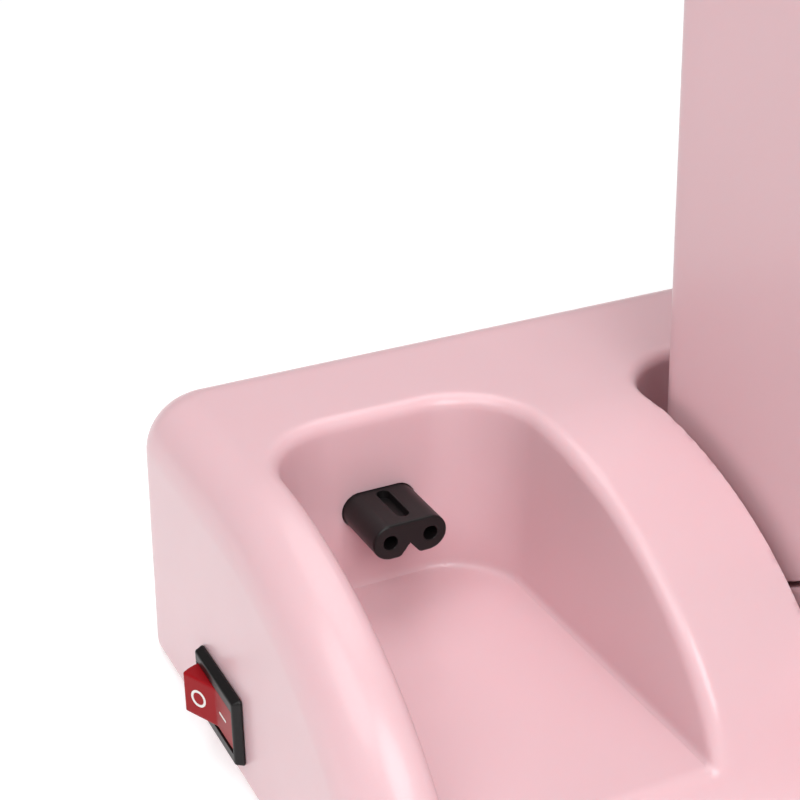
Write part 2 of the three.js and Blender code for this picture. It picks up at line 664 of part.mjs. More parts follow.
// One half without its openings. Only the edges away from the rim and the slope are rounded.
function halfBody(outline, lowEdges, shrink) {
  const cut = prismX(clipped(outline, shrink), -FAR, FAR);
  const roomy = outline.map(([forward, depth], i) => {
    const low = lowEdges.includes(i);
    return low ? [forward, depth] : [forward + (forward < BODY_DEPTH ? -30 : 0), depth - 30];
  });
  const radii = roomy.map((_, i) => (lowEdges.includes(i) ? SIDE_ROUND : 0));
  const round = SIDE_ROUND - shrink;
  const soft = rounded(inset(roomy, shrink), radii.map((r) => Math.max(r - shrink, 0)), 4);
  const body = prismX(soft, -HALF + shrink, HALF - shrink, round * BEVEL_SHARE);
  const corner = FRONT_CORNER - shrink;
  const plan = rounded(
    rectangle(-HALF + shrink, HALF - shrink, -FAR, BODY_DEPTH - shrink), [0, 0, corner, corner], 6);
  return body.intersect(cut).intersect(prismZ(plan, -FAR, FAR));
}

// Both hinges: the outer and inner knuckles belong to the base, the middle one to the lid.
function knuckles(offsets, radius, grow) {
  let joined = null;
  for (const side of [-1, 1]) {
    for (const index of offsets) {
      const near = HALF - KNUCKLE_INSET - index * (KNUCKLE_WIDTH + KNUCKLE_GAP);
      const x0 = side > 0 ? near - KNUCKLE_WIDTH : -near;
      const rod = rodX(0, 0, radius, x0 - grow, x0 + KNUCKLE_WIDTH + grow, 24);
      joined = joined === null ? rod : joined.add(rod);
    }
  }
  return joined;
}

const HINGE_OUTER = HALF - KNUCKLE_INSET;
const HINGE_LENGTH = 3 * KNUCKLE_WIDTH + 2 * KNUCKLE_GAP;
const PIN_HEAD_THICK = 1.6;

// Bores for both pins, with pockets for their heads.
function hingeBore(shell) {
  let cut = shell;
  for (const side of [-1, 1]) {
    const inner = side * (HINGE_OUTER - HINGE_LENGTH - 2);
    const outer = side * HINGE_OUTER;
    const pocket = side * (HINGE_OUTER + PIN_HEAD_THICK + 2 * TOUCH);
    cut = cut.subtract(rodX(0, 0, PIN_RADIUS + TOUCH, Math.min(inner, outer), Math.max(inner, outer), 20));
    cut = cut.subtract(rodX(0, 0, PIN_HEAD_RADIUS + FIT, Math.min(outer, pocket), Math.max(outer, pocket), 20));
  }
  return cut;
}

function plateOpening() {
  const corner = PLATE_CORNER + PLATE_CLEAR;
  const outline = rectangle(-HALF + RIM_SIDE, HALF - RIM_SIDE, RIM_REAR, BODY_DEPTH - RIM_SIDE);
  return prismZ(rounded(outline, [corner, corner, corner, corner], 5), -FAR, RIM + WALL + 3);
}

const plateScrews = [-1, 1].map((side) => [side * (PLATE_WIDTH / 2 - TAB_SIZE / 2), BETWEEN_ROWS]);
const TAB_TOP = RIM + PLATE_THICK + TOUCH;

// Ledges that the baking plate is screwed to.
function plateTabs(body) {
  let tabs = null;
  for (const [x, y] of plateScrews) {
    const side = Math.sign(x);
    const inner = x - side * TAB_SIZE / 2;
    const outer = side * (HALF - 1);
    const tab = block(Math.min(inner, outer), Math.max(inner, outer),
      y - TAB_SIZE / 2, y + TAB_SIZE / 2, TAB_TOP, TAB_TOP + 4);
    tabs = tabs === null ? tab : tabs.add(tab);
  }
  return tabs.intersect(body);
}

// The front posts take the cover's own screws; the rear ones take the screws that also hold
// the lower body to the station.
const POST_INSET = 10;
const frontPosts = [-1, 1].map((side) => [side * (HALF - POST_INSET), BODY_DEPTH - 12]);
const rearPosts = [-1, 1].map((side) => [side * (HALF - POST_INSET), -LID_THICK + 14]);
const basePosts = [...frontPosts, ...rearPosts];
const tongueScrews = rearPosts.map(([x, y]) => [BODY_MIDDLE + x, HINGE_Y - y]);
const POST_BOTTOM = BASE_DEPTH - COVER_THICK - TOUCH;

function lowerHousing() {
  const lowEdges = [1, 2];
  const outer = halfBody(baseOutline(), lowEdges, 0);
  const inner = halfBody(baseOutline(), lowEdges, WALL);
  let shell = outer.subtract(inner);
  const bottom = prismZ(rounded(rectangle(-HALF + WALL, HALF - WALL, -LID_THICK + WALL, BODY_DEPTH - WALL),
    [2, 2, FRONT_CORNER - WALL, FRONT_CORNER - WALL], 5), BASE_DEPTH - WALL - 3, FAR);
  shell = shell.subtract(bottom);
  for (const [x, y] of basePosts) {
    shell = shell.add(rodZ(x, y, POST_RADIUS, RIM, POST_BOTTOM, 12).intersect(outer));
  }
  shell = shell.subtract(plateOpening());
  shell = shell.add(plateTabs(outer));
  shell = shell.add(knuckles([0, 2], KNUCKLE_RADIUS, 0));
  shell = shell.subtract(knuckles([1], KNUCKLE_RADIUS + KNUCKLE_GAP, KNUCKLE_GAP));
  for (const [x, y] of basePosts) {
    shell = shell.subtract(rodZ(x, y, SCREW_RADIUS + TOUCH, POST_BOTTOM - 10, FAR, 10));
  }
  for (const [x, y] of plateScrews) {
    shell = shell.subtract(rodZ(x, y, SCREW_RADIUS + TOUCH, TAB_TOP - 1, TAB_TOP + 6, 10));
  }
  const halfDuct = DUCT_WIDTH / 2 + FIT;
  const ductTop = BASE_DEPTH - COVER_THICK - DUCT_HEIGHT - 2 * FIT;
  shell = shell.subtract(block(-halfDuct, halfDuct, -LID_THICK - 5, -LID_THICK + WALL + 3,
    ductTop, BASE_DEPTH - COVER_THICK));
  return hingeBore(shell);
}

function lowerCover() {
  const gap = WALL + FIT;
  const corner = FRONT_CORNER - gap;
  const outline = rounded(rectangle(-HALF + gap, HALF - gap, -LID_THICK + gap, BODY_DEPTH - gap),
    [2, 2, corner, corner], 5);
  let cover = prismZ(outline, BASE_DEPTH - COVER_THICK, BASE_DEPTH);
  for (const [x, y] of basePosts) {
    cover = cover.subtract(rodZ(x, y, SCREW_RADIUS + FIT, -FAR, FAR, 10));
  }
  for (let k = -2; k <= 2; k += 1) {
    const y = PLATE_MIDDLE + k * VENT_PITCH;
    cover = cover.subtract(block(-HALF / 3, HALF / 3, y - VENT_WIDTH / 2, y + VENT_WIDTH / 2, -FAR, FAR));
  }
  return cover;
}

function lidHousing() {
  const lowEdges = [1, 2];
  const outer = halfBody(lidOutline(), lowEdges, 0);
  const inner = halfBody(lidOutline(), lowEdges, WALL);
  let shell = outer.subtract(inner);
  shell = shell.subtract(plateOpening());
  shell = shell.add(plateTabs(outer));
  shell = shell.add(knuckles([1], KNUCKLE_RADIUS, 0));
  shell = shell.subtract(knuckles([0, 2], KNUCKLE_RADIUS + KNUCKLE_GAP, KNUCKLE_GAP));
  for (const [x, y] of plateScrews) {
    shell = shell.subtract(rodZ(x, y, SCREW_RADIUS + TOUCH, TAB_TOP - 1, TAB_TOP + 6, 10));
  }
  for (const side of [-1, 1]) {
    shell = shell.subtract(rodZ(side * LAMP_PITCH / 2, LAMP_Y, LAMP_RADIUS + FIT, LID_THICK, FAR, 16));
  }
  return hingeBore(shell);
}

const DONUT_SIDES = 20;

function bakingPlate() {
  const corner = PLATE_CORNER;
  const front = PLATE_MIDDLE + PLATE_DEPTH / 2;
  const rear = PLATE_MIDDLE - PLATE_DEPTH / 2;
  const outline = rectangle(-PLATE_WIDTH / 2, PLATE_WIDTH / 2, rear, front);
  let plate = prismZ(rounded(outline, [corner, corner, corner, corner], 5), RIM, RIM + PLATE_THICK);
  const rings = [];
  for (let column = 0; column < RING_COLUMNS; column += 1) {
    for (let row = 0; row < RING_ROWS; row += 1) {
      const x = (column - (RING_COLUMNS - 1) / 2) * RING_PITCH_X;
      rings.push([x, PLATE_MIDDLE + (row - (RING_ROWS - 1) / 2) * RING_PITCH_Y]);
    }
  }
  const innerRadius = DONUT_HOLE - CUP_WALL;
  for (const [x, y] of rings) {
    plate = plate.add(turned([
      [innerRadius, RIM + 2], [innerRadius + 3, CUP_BOTTOM], [CUP_RADIUS - 5, CUP_BOTTOM],
      [CUP_RADIUS, CUP_BOTTOM - 6], [CUP_RADIUS, RIM + 2],
    ].reverse(), x, y, DONUT_SIDES));
  }
  const middle = (DONUT_RADIUS + DONUT_HOLE) / 2;
  const half = (DONUT_RADIUS - DONUT_HOLE) / 2;
  const hollow = [[DONUT_RADIUS, RIM - 2]];
  for (let k = 0; k <= 5; k += 1) {
    const angle = Math.PI * k / 5;
    hollow.push([middle + half * Math.cos(angle), RIM + DONUT_DEPTH * Math.sin(angle)]);
  }
  hollow.push([DONUT_HOLE, RIM - 2]);
  for (const [x, y] of rings) {
    plate = plate.subtract(turned(hollow, x, y, DONUT_SIDES));
  }
  for (const [x, y] of plateScrews) {
    plate = plate.subtract(rodZ(x, y, SCREW_RADIUS + TOUCH, -FAR, FAR, 10));
    plate = plate.subtract(rodZ(x, y, SCREW_HEAD_RADIUS + TOUCH, -FAR, RIM + SCREW_HEAD_THICK + TOUCH, 12));
  }
  return plate;
}

function heatingElement() {
  const near = PLATE_MIDDLE - PLATE_DEPTH / 2 + ELEMENT_EDGE_Y;
  const far = PLATE_MIDDLE + PLATE_DEPTH / 2 - ELEMENT_EDGE_Y;
  const side = PLATE_WIDTH / 2 - ELEMENT_EDGE_X;
  const lead = 9;
  const start = RIM_REAR + 4;
  const route = [[-lead, start], [-lead, near], [-side, near], [-side, far],
    [side, far], [side, near], [lead, near], [lead, start]];
  return bar(route.map(([x, y]) => [x, y, ELEMENT_DEPTH]), ELEMENT_BEND, ELEMENT_RADIUS, 6, 44);
}

function heatShield() {
  const halfWidth = PLATE_WIDTH / 2 - 10;
  const rear = PLATE_MIDDLE - PLATE_DEPTH / 2 + 8;
  const front = PLATE_MIDDLE + PLATE_DEPTH / 2 - 8;
  const bottom = SHIELD_TOP + SHIELD_DEPTH;
  const tray = block(-halfWidth, halfWidth, rear, front, SHIELD_TOP, bottom);
  return tray.subtract(block(-halfWidth + SHIELD_THICK, halfWidth - SHIELD_THICK,
    rear + SHIELD_THICK, front - SHIELD_THICK, SHIELD_TOP - 1, bottom - SHIELD_THICK));
}

function thermostat() {
  const top = RIM + PLATE_THICK + TOUCH;
  const can = rodZ(0, BETWEEN_ROWS, THERMOSTAT_RADIUS, top, top + 6, 20);
  const reach = THERMOSTAT_RADIUS + 6;
  return can.add(block(-reach, reach, BETWEEN_ROWS - 2, BETWEEN_ROWS + 2, top + 5, top + 6.5));
}

function thermalFuse() {
  const z = RIM + PLATE_THICK + TOUCH + 2.2;
  const y = BETWEEN_ROWS - THERMOSTAT_RADIUS - 4;
  return rodX(y, z, 2, -6, 6, 12).add(rodX(y, z, 0.6, -11, 11, 8));
}

function hingePin(side) {
  const tip = side * (HINGE_OUTER - HINGE_LENGTH - 1);
  const head = side * (HINGE_OUTER + TOUCH);
  const cap = side * (HINGE_OUTER + TOUCH + PIN_HEAD_THICK);
  const pin = rodX(0, 0, PIN_RADIUS, Math.min(tip, cap), Math.max(tip, cap), 20);
  return pin.add(rodX(0, 0, PIN_HEAD_RADIUS, Math.min(head, cap), Math.max(head, cap), 20));
}

function restPad(side) {
  const centre = -LID_THICK / 2;
  const geometry = new THREE.BoxGeometry(14, 12, SLOPE_GAP - 2 * TOUCH);
  geometry.rotateX(-radians(SLOPE_DEG));
  const lift = SLOPE_GAP / 2;
  const angle = radians(SLOPE_DEG);
  geometry.translate(side * 50, centre - lift * Math.sin(angle) * -1,
    RIM - SLOPE * centre - lift * Math.cos(angle));
  return solid(geometry);
}

// ---- handles, latch and lamps ---------------------------------------------------------------

const HANDLE_FRONT = BODY_DEPTH + HANDLE_REACH;
const LATCH_Y = BODY_DEPTH + LATCH_AXIS_OUT;
const LATCH_Z = HANDLE_NEAR + HANDLE_THICK / 2;
const LAMP_Y = BODY_DEPTH - 24;
const LAMP_FACE = lidDepth(LAMP_Y);         // depth of the lid's outer face at the lamps
const LAMP_TOP = LAMP_FACE - WALL - 1;

function handleBody() {
  const half = HANDLE_WIDTH / 2;
  const start = BODY_DEPTH + TOUCH;
  const plan = rounded([[-half, start], [half, start], [half - 8, HANDLE_FRONT], [-half + 8, HANDLE_FRONT]],
    [2, 2, 9, 9], 4);
  const side = rounded(
    rectangle(start - 20, HANDLE_FRONT, HANDLE_NEAR, HANDLE_NEAR + HANDLE_THICK), [0, 3.5, 3.5, 0], 3);
  return prismZ(plan, HANDLE_NEAR - 1, HANDLE_NEAR + HANDLE_THICK + 1).intersect(prismX(side, -FAR, FAR));
}

function lowerHandle() {
  let handle = handleBody();
  for (const side of [-1, 1]) {
    const near = side * (LATCH_WIDTH / 2 + TOUCH);
    const far = side * (LATCH_WIDTH / 2 + TOUCH + 4);
    const x0 = Math.min(near, far);
    const x1 = Math.max(near, far);
    handle = handle.add(rodX(LATCH_Y, LATCH_Z, LATCH_LUG_RADIUS, x0, x1, 16));
    handle = handle.add(block(x0, x1, HANDLE_FRONT - 3, LATCH_Y,
      LATCH_Z - LATCH_LUG_RADIUS, LATCH_Z + LATCH_LUG_RADIUS));
  }
  const reach = LATCH_WIDTH / 2 + 6;
  handle = handle.subtract(rodX(LATCH_Y, LATCH_Z, LATCH_PIN_RADIUS + TOUCH, -reach, reach, 16));
  return handle;
}

// The clip hangs straight down from its pin; swung up, its hook lies over the lid handle.
const LATCH_REACH = LATCH_Z + HANDLE_NEAR + HANDLE_THICK + 0.6;

function latchClip() {
  const half = LATCH_WIDTH / 2;
  const low = LATCH_Z + LATCH_REACH;
  const inner = LATCH_Y - LATCH_THICK / 2;
  let clip = rodX(LATCH_Y, LATCH_Z, 3.4, -half, half, 16);
  clip = clip.add(block(-half, half, inner, inner + LATCH_THICK, LATCH_Z, low + LATCH_THICK));
  clip = clip.add(block(-half, half, inner, LATCH_Y + 8, low, low + LATCH_THICK));
  return clip.subtract(rodX(LATCH_Y, LATCH_Z, LATCH_PIN_RADIUS + TOUCH, -FAR, FAR, 16));
}

function latchPin() {
  const reach = LATCH_WIDTH / 2 + TOUCH + 4;
  return rodX(LATCH_Y, LATCH_Z, LATCH_PIN_RADIUS, -reach, reach, 16);
}

// A stem with a shallow domed end.
function lampLens(side) {
  const proud = LAMP_FACE + 1.4;
  return turned([
    [0, LAMP_TOP], [LAMP_RADIUS, LAMP_TOP], [LAMP_RADIUS, proud - 0.9],
    [LAMP_RADIUS * 0.75, proud - 0.25], [0, proud],
  ], side * LAMP_PITCH / 2, LAMP_Y, 16);
}

function lampHolder() {
  const top = LAMP_TOP - TOUCH;
  const board = block(-LAMP_PITCH / 2 - 8, LAMP_PITCH / 2 + 8, LAMP_Y - 7, LAMP_Y + 7, top - 3, top);
  return board.subtract(block(-3, 3, LAMP_Y - 3, LAMP_Y + 3, top - 5, top + 1));
}

// ---- assembly -------------------------------------------------------------------------------

add(station, 'station_shell', stationShell(), PINK);
add(station, 'station_bottom_cover', stationCover(), PINK);
const stationFeet = [
  [STATION_LEFT + 22, STATION_REAR - 23.5], [STATION_LEFT + 22, -42],
  [STATION_RIGHT - 13, STATION_REAR - 33.5], [STATION_RIGHT - 13, -30],
];
stationFeet.forEach(([x, y], i) => {
  add(station, `station_foot_${i + 1}`, rodZ(x, y, FOOT_RADIUS, 0, FOOT_HEIGHT - TOUCH, 20), RUBBER);
});
stationPosts.forEach(([x, y], i) => {
  const head = FOOT_HEIGHT - TOUCH - SCREW_HEAD_THICK;
  add(station, `station_screw_${i + 1}`, screw(x, y, head, COVER_TOP + SCREW_GRIP), STEEL);
});
tongueScrews.forEach(([x, y], i) => {
  const head = FOOT_HEIGHT - TOUCH - SCREW_HEAD_THICK;
  add(station, `joining_screw_${i + 1}`, screw(x, y, head, BASE_BOTTOM + COVER_THICK + SCREW_GRIP), STEEL);
});
add(station, 'outlet_connector', outletConnector(), BLACK);
add(station, 'outlet_bracket', outletBracket(), BLACK);
add(station, 'switch_frame', switchFrame(), BLACK);
add(station, 'switch_rocker', switchRocker(), RED);
add(station, 'mains_inlet', mainsInlet(), BLACK);
add(station, 'terminal_block', terminalBlock(), WHITE);
add(station, 'wire_duct', wireDuct(), BLACK);
add(station, 'heater_wire_1', heaterWire(-1), WHITE);
add(station, 'heater_wire_2', heaterWire(1), RED);

add(base, 'lower_housing', lowerHousing(), PINK);
add(base, 'lower_bottom_cover', lowerCover(), PINK);
[-1, 1].forEach((side, i) => {
  const foot = rodZ(side * (HALF - 24), BODY_DEPTH - 26, FOOT_RADIUS, BASE_DEPTH + TOUCH, HINGE_Z, 20);
  add(base, `front_foot_${i + 1}`, foot, RUBBER);
});
frontPosts.forEach(([x, y], i) => {
  const head = rodZ(x, y, SCREW_HEAD_RADIUS, BASE_DEPTH + TOUCH, BASE_DEPTH + TOUCH + SCREW_HEAD_THICK, 12);
  const shank = rodZ(x, y, SCREW_RADIUS, POST_BOTTOM - SCREW_GRIP, BASE_DEPTH + TOUCH + 0.2, 10);
  add(base, `base_screw_${i + 1}`, head.add(shank), STEEL);
});
add(base, 'lower_plate', bakingPlate(), COATING);
add(base, 'lower_element', heatingElement(), STEEL);
add(base, 'lower_shield', heatShield(), STEEL);
add(base, 'thermostat', thermostat(), STEEL);
add(base, 'thermal_fuse', thermalFuse(), WHITE);
plateScrews.forEach(([x, y], i) => {
  add(base, `lower_plate_screw_${i + 1}`, screw(x, y, RIM + TOUCH / 2, TAB_TOP + 3.5), STEEL);
});
add(base, 'hinge_pin_left', hingePin(-1), STEEL);
add(base, 'hinge_pin_right', hingePin(1), STEEL);
add(base, 'rest_pad_left', restPad(-1), RUBBER);
add(base, 'rest_pad_right', restPad(1), RUBBER);
add(base, 'lower_handle', lowerHandle(), BLACK);
add(base, 'latch_clip', latchClip(), BLACK);
add(base, 'latch_pin', latchPin(), STEEL);

add(lid, 'lid_housing', lidHousing(), PINK);
add(lid, 'upper_plate', bakingPlate(), COATING);
add(lid, 'upper_element', heatingElement(), STEEL);
add(lid, 'upper_shield', heatShield(), STEEL);
plateScrews.forEach(([x, y], i) => {
  add(lid, `upper_plate_screw_${i + 1}`, screw(x, y, RIM + TOUCH / 2, TAB_TOP + 3.5), STEEL);
});
add(lid, 'lid_handle', handleBody(), BLACK);
add(lid, 'power_lamp', lampLens(-1), RED);
add(lid, 'ready_lamp', lampLens(1), GREEN);
add(lid, 'lamp_holder', lampHolder(), WHITE);

machine.updateMatrixWorld(true);
const box = new THREE.Box3().setFromObject(machine, true);
machine.position.set(-(box.min.x + box.max.x) / 2, -(box.min.y + box.max.y) / 2, -box.min.z);
machine.updateMatrixWorld(true);

export default machine;
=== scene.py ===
"""Looks for the clamshell donut maker and its power station.

The moulded shells are distance fields, meshed by dual contouring. Lengths in the shape
functions are millimetres from the middle of the outlet's front face: x right, y to the
rear, z up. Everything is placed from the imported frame.
"""

import json
import math

import bmesh
import bpy
import numpy as np
from mathutils import Matrix, Vector


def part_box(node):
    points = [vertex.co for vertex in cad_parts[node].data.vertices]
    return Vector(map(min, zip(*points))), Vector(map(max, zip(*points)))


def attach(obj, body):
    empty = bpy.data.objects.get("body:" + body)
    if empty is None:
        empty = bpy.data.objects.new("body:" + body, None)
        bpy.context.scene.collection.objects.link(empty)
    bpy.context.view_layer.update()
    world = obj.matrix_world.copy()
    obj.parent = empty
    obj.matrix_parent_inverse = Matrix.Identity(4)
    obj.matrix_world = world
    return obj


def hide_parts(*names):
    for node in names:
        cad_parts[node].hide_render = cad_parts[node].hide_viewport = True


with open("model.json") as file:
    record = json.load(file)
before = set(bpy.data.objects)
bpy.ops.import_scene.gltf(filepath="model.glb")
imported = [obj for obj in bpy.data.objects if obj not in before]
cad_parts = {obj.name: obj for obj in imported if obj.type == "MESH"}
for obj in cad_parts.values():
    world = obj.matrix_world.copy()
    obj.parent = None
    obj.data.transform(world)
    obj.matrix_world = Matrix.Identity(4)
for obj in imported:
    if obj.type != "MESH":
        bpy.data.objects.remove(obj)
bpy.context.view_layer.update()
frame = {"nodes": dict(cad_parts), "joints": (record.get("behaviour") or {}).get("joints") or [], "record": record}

MM = 0.001
FAR = 400.0              # further than any piece reaches

# ---- sizes shared with the CAD model, in millimetres -----------------------------------------

WALL = 2.6
COVER_THICK = 2.4
BODY_WIDTH = 192.0
BODY_DEPTH = 187.0
LID_THICK = 46.5
LID_TAPER_DEG = 2.4
RIM = 0.4
SLOPE_DEG = 30.0
SLOPE_GAP = 1.2
RIM_SIDE = 9.0
RIM_REAR = 16.0
FRONT_CORNER = 22.0
KNUCKLE_RADIUS = 5.2
KNUCKLE_WIDTH = 10.0
KNUCKLE_GAP = 0.6
KNUCKLE_INSET = 16.0
PIN_RADIUS = 2.0
PIN_HEAD_RADIUS = 3.4
PLATE_THICK = 4.0
PLATE_CLEAR = 0.6
PLATE_CORNER = 12.0
DONUT_RADIUS = 34.0
DONUT_HOLE = 9.5
DONUT_DEPTH = 13.0
CUP_WALL = 3.0
RING_PITCH_X = 82.0
RING_PITCH_Y = 78.0
NOSE_START = 1.0
SIDE_GAP = 2.5
SIDE_ROUND = 5.0
SLOT_REAR = 12.5
SLOT_CORNER = 18.0
BAY_WIDTH = 50.5
BAY_REAR = 14.4
BAY_FLOOR_BELOW_OUTLET = 18.0
BAY_CORNER = 16.0
OUTLET_LOBE = 3.75
OUTLET_PITCH = 8.3
OUTLET_TAIL = 9.0
OUTLET_HOLE = 1.5
OUTLET_HOLE_PITCH = 8.6
OUTLET_FLANGE = (11.0, 5.5, 2.0)      # half width, half height, thickness
NOTCH_HALF = 2.1
NOTCH_DEPTH = 2.6
BEZEL_PROUD = 2.0
BEZEL_LIP = 1.0
SWITCH_BODY_DEPTH = 11.5
ROCKER_HEIGHT = 9.0
ROCKER_RADIUS = 9.2
ROCKER_CREST = 1.8
ROCKER_DEG = 26.0
DUCT_WIDTH = 16.0
DUCT_HEIGHT = 6.0
FIT = 0.4
TOUCH = 0.3
SCREW_RADIUS = 1.5
SCREW_HEAD_RADIUS = 3.0
SCREW_HEAD_THICK = 1.4
LAMP_RADIUS = 3.5
LAMP_PITCH = 18.0
LAMP_INSET = 24.0
PLATE_SCREW_INSET = 6.0

# ---- places from the frame -------------------------------------------------------------------


def node_box(node):
    """A CAD node's box in millimetres from the outlet's front face."""
    low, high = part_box(node)
    return (np.array(low) - OUTLET) / MM, (np.array(high) - OUTLET) / MM


outlet_low, outlet_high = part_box("outlet_connector")
OUTLET = np.array([
    (outlet_low.x + outlet_high.x) / 2,
    outlet_low.y,
    (outlet_low.z + outlet_high.z) / 2,
])
TABLE_Z = -OUTLET[2] / MM
shell_low, shell_high = node_box("station_shell")
lid_low, lid_high = node_box("lid_housing")
lower_low, _ = node_box("lower_housing")
hinge = next(j for j in frame["joints"] if j["name"] == "lid_hinge")
HINGE = (np.array(hinge["pos_m"]) - OUTLET) / MM
BODY_MIDDLE = (lid_low[0] + lid_high[0]) / 2
HALF = BODY_WIDTH / 2
BASE_DEPTH = HINGE[2] - lower_low[2]
SLOT_LEFT = lid_low[0] - SIDE_GAP
SLOT_RIGHT = lid_high[0] + SIDE_GAP
BAY_FLOOR = -BAY_FLOOR_BELOW_OUTLET


# ---- distance fields -------------------------------------------------------------------------


def soft_max(a, b, radius):
    """Both solids at once, with the convex edge between them rounded."""
    u = np.maximum(a + radius, 0)
    v = np.maximum(b + radius, 0)
    return np.minimum(np.maximum(a, b), -radius) + np.hypot(u, v)


def soft_min(a, b, radius):
    """Either solid, with the concave edge between them filled."""
    return -soft_max(-a, -b, radius)


def rect_field(x, y, x0, x1, y0, y1, corner):
    """A rectangle with round corners, as a 2-D distance."""
    u = np.abs(x - (x0 + x1) / 2) - (x1 - x0) / 2 + corner
    v = np.abs(y - (y0 + y1) / 2) - (y1 - y0) / 2 + corner
    outside = np.hypot(np.maximum(u, 0), np.maximum(v, 0))
    return np.minimum(np.maximum(u, v), 0) + outside - corner


def slab(t, low, high):
    return np.maximum(low - t, t - high)


def box_field(p, low, high, edge=0.5):
    """A box with round edges."""
    middle = [(a + b) / 2 for a, b in zip(low, high)]
    half = [(b - a) / 2 - edge for a, b in zip(low, high)]
    q = [np.abs(p[i] - middle[i]) - half[i] for i in range(3)]
    outside = np.sqrt(sum(np.maximum(c, 0) ** 2 for c in q))
    return outside + np.minimum(np.maximum(q[0], np.maximum(q[1], q[2])), 0) - edge


# ---- dual contouring -------------------------------------------------------------------------


def gradient(field, points, step=0.02):
    """Unit normals of a field at an array of points (n, 3)."""
    out = np.empty_like(points)
    for axis in range(3):
        shift = np.zeros(3)
        shift[axis] = step
        out[:, axis] = field((points + shift).T) - field((points - shift).T)
    length = np.linalg.norm(out, axis=1, keepdims=True)
    return out / np.maximum(length, 1e-12)


def contour(field, xs, ys, zs):
    """Meshes the zero surface of a field on a grid whose steps may vary."""
    axes = [np.asarray(a, float) for a in (xs, ys, zs)]
    shape = tuple(len(a) for a in axes)
    values = np.empty(shape)
    plane_y, plane_z = np.meshgrid(axes[1], axes[2], indexing="ij")
    for i, x in enumerate(axes[0]):
        values[i] = field((np.full_like(plane_y, x), plane_y, plane_z))
    inside = values < 0

    cells = tuple(n - 1 for n in shape)
    strides = np.array([cells[1] * cells[2], cells[2], 1])
    cell_ids, points, faces = [], [], []
    for axis in range(3):
        low = [slice(None)] * 3
        high = [slice(None)] * 3
        low[axis] = slice(0, -1)
        high[axis] = slice(1, None)
        crossing = inside[tuple(low)] != inside[tuple(high)]
        index = np.argwhere(crossing)
        u, v = (axis + 1) % 3, (axis + 2) % 3
        index = index[(index[:, u] > 0) & (index[:, v] > 0)
                      & (index[:, u] < cells[u]) & (index[:, v] < cells[v])]
        if not len(index):
            continue
        after = index.copy()
        after[:, axis] += 1
        value_low = values[tuple(index.T)]
        value_high = values[tuple(after.T)]
        place = np.stack([axes[k][index[:, k]] for k in range(3)], axis=1)
        span = axes[axis][after[:, axis]] - axes[axis][index[:, axis]]
        start = place[:, axis].copy()
        share = value_low / (value_low - value_high)
        for _ in range(2):
            place[:, axis] = start + share * span
            now = field(place.T)
            nearer_low = (now < 0) == (value_low < 0)
            low_share = np.where(nearer_low, share, 0)
            high_share = np.where(nearer_low, 1, share)
            low_value = np.where(nearer_low, now, value_low)
            high_value = np.where(nearer_low, value_high, now)
            gap = np.where(np.abs(low_value - high_value) < 1e-12, 1e-12, low_value - high_value)
            share = low_share + (high_share - low_share) * np.clip(low_value / gap, 0, 1)
        place[:, axis] = start + share * span
        corners = []
        for du, dv in ((-1, -1), (0, -1), (0, 0), (-1, 0)):
            cell = index.copy()
            cell[:, u] += du
            cell[:, v] += dv
            corners.append(cell @ strides)
        quad = np.stack(corners, axis=1)
        flip = value_low > 0
        quad[flip] = quad[flip][:, ::-1]
        faces.append(quad)
        for corner in corners:
            cell_ids.append(corner)
            points.append(place)
    cell_ids = np.concatenate(cell_ids)
    points = np.concatenate(points)
    quads = np.concatenate(faces)
    normals = gradient(field, points)

    used, inverse = np.unique(cell_ids, return_inverse=True)
    count = np.bincount(inverse).astype(float)
    mass = np.stack([np.bincount(inverse, points[:, k]) for k in range(3)], axis=1) / count[:, None]
    offset = np.einsum("ij,ij->i", normals, points - mass[inverse])
    matrix = np.zeros((len(used), 3, 3))
    right = np.zeros((len(used), 3))
    for a in range(3):
        right[:, a] = np.bincount(inverse, normals[:, a] * offset)
        for b in range(3):
            matrix[:, a, b] = np.bincount(inverse, normals[:, a] * normals[:, b])
    matrix += np.eye(3) * 0.05
    corner = mass + np.linalg.solve(matrix, right[:, :, None])[:, :, 0]
    cell = np.stack(np.unravel_index(used, cells), axis=1)
    for k in range(3):
        low_edge = axes[k][cell[:, k]]
        high_edge = axes[k][cell[:, k] + 1]
        corner[:, k] = np.clip(corner[:, k], low_edge, high_edge)
    lookup = np.searchsorted(used, quads)
    return corner, lookup


def steps(*spans):
    """Grid lines from (start, end, step) spans that follow one another."""
    lines = []
    for start, end, step in spans:
        count = max(1, round((end - start) / step))
        lines.extend(np.linspace(start, end, count, endpoint=False))
    lines.append(spans[-1][1])
    return np.array(lines)


def to_frame(points):
    return points * MM + OUTLET


def mesh_object(name, points, faces):
    mesh = bpy.data.meshes.new(name)
    mesh.from_pydata(points.tolist(), [], faces.tolist())
    mesh.validate()
    piece = bpy.data.objects.new(name, mesh)
    bpy.context.scene.collection.objects.link(piece)
    return piece


def shade(piece, angle_deg=40.0):
    """Smooth shading that breaks at edges sharper than the angle."""
    mesh = piece.data
    mesh.polygons.foreach_set("use_smooth", [True] * len(mesh.polygons))
    mesh.set_sharp_from_angle(angle=math.radians(angle_deg))


def field_piece(name, field, grid, place=None):
    """A piece meshed from a field; place moves its points into outlet coordinates."""
    points, faces = contour(field, *grid)
    if place is not None:
        points = place(points)
    piece = mesh_object(name, to_frame(points), faces)
    shade(piece)
    return piece


# ---- materials -------------------------------------------------------------------------------


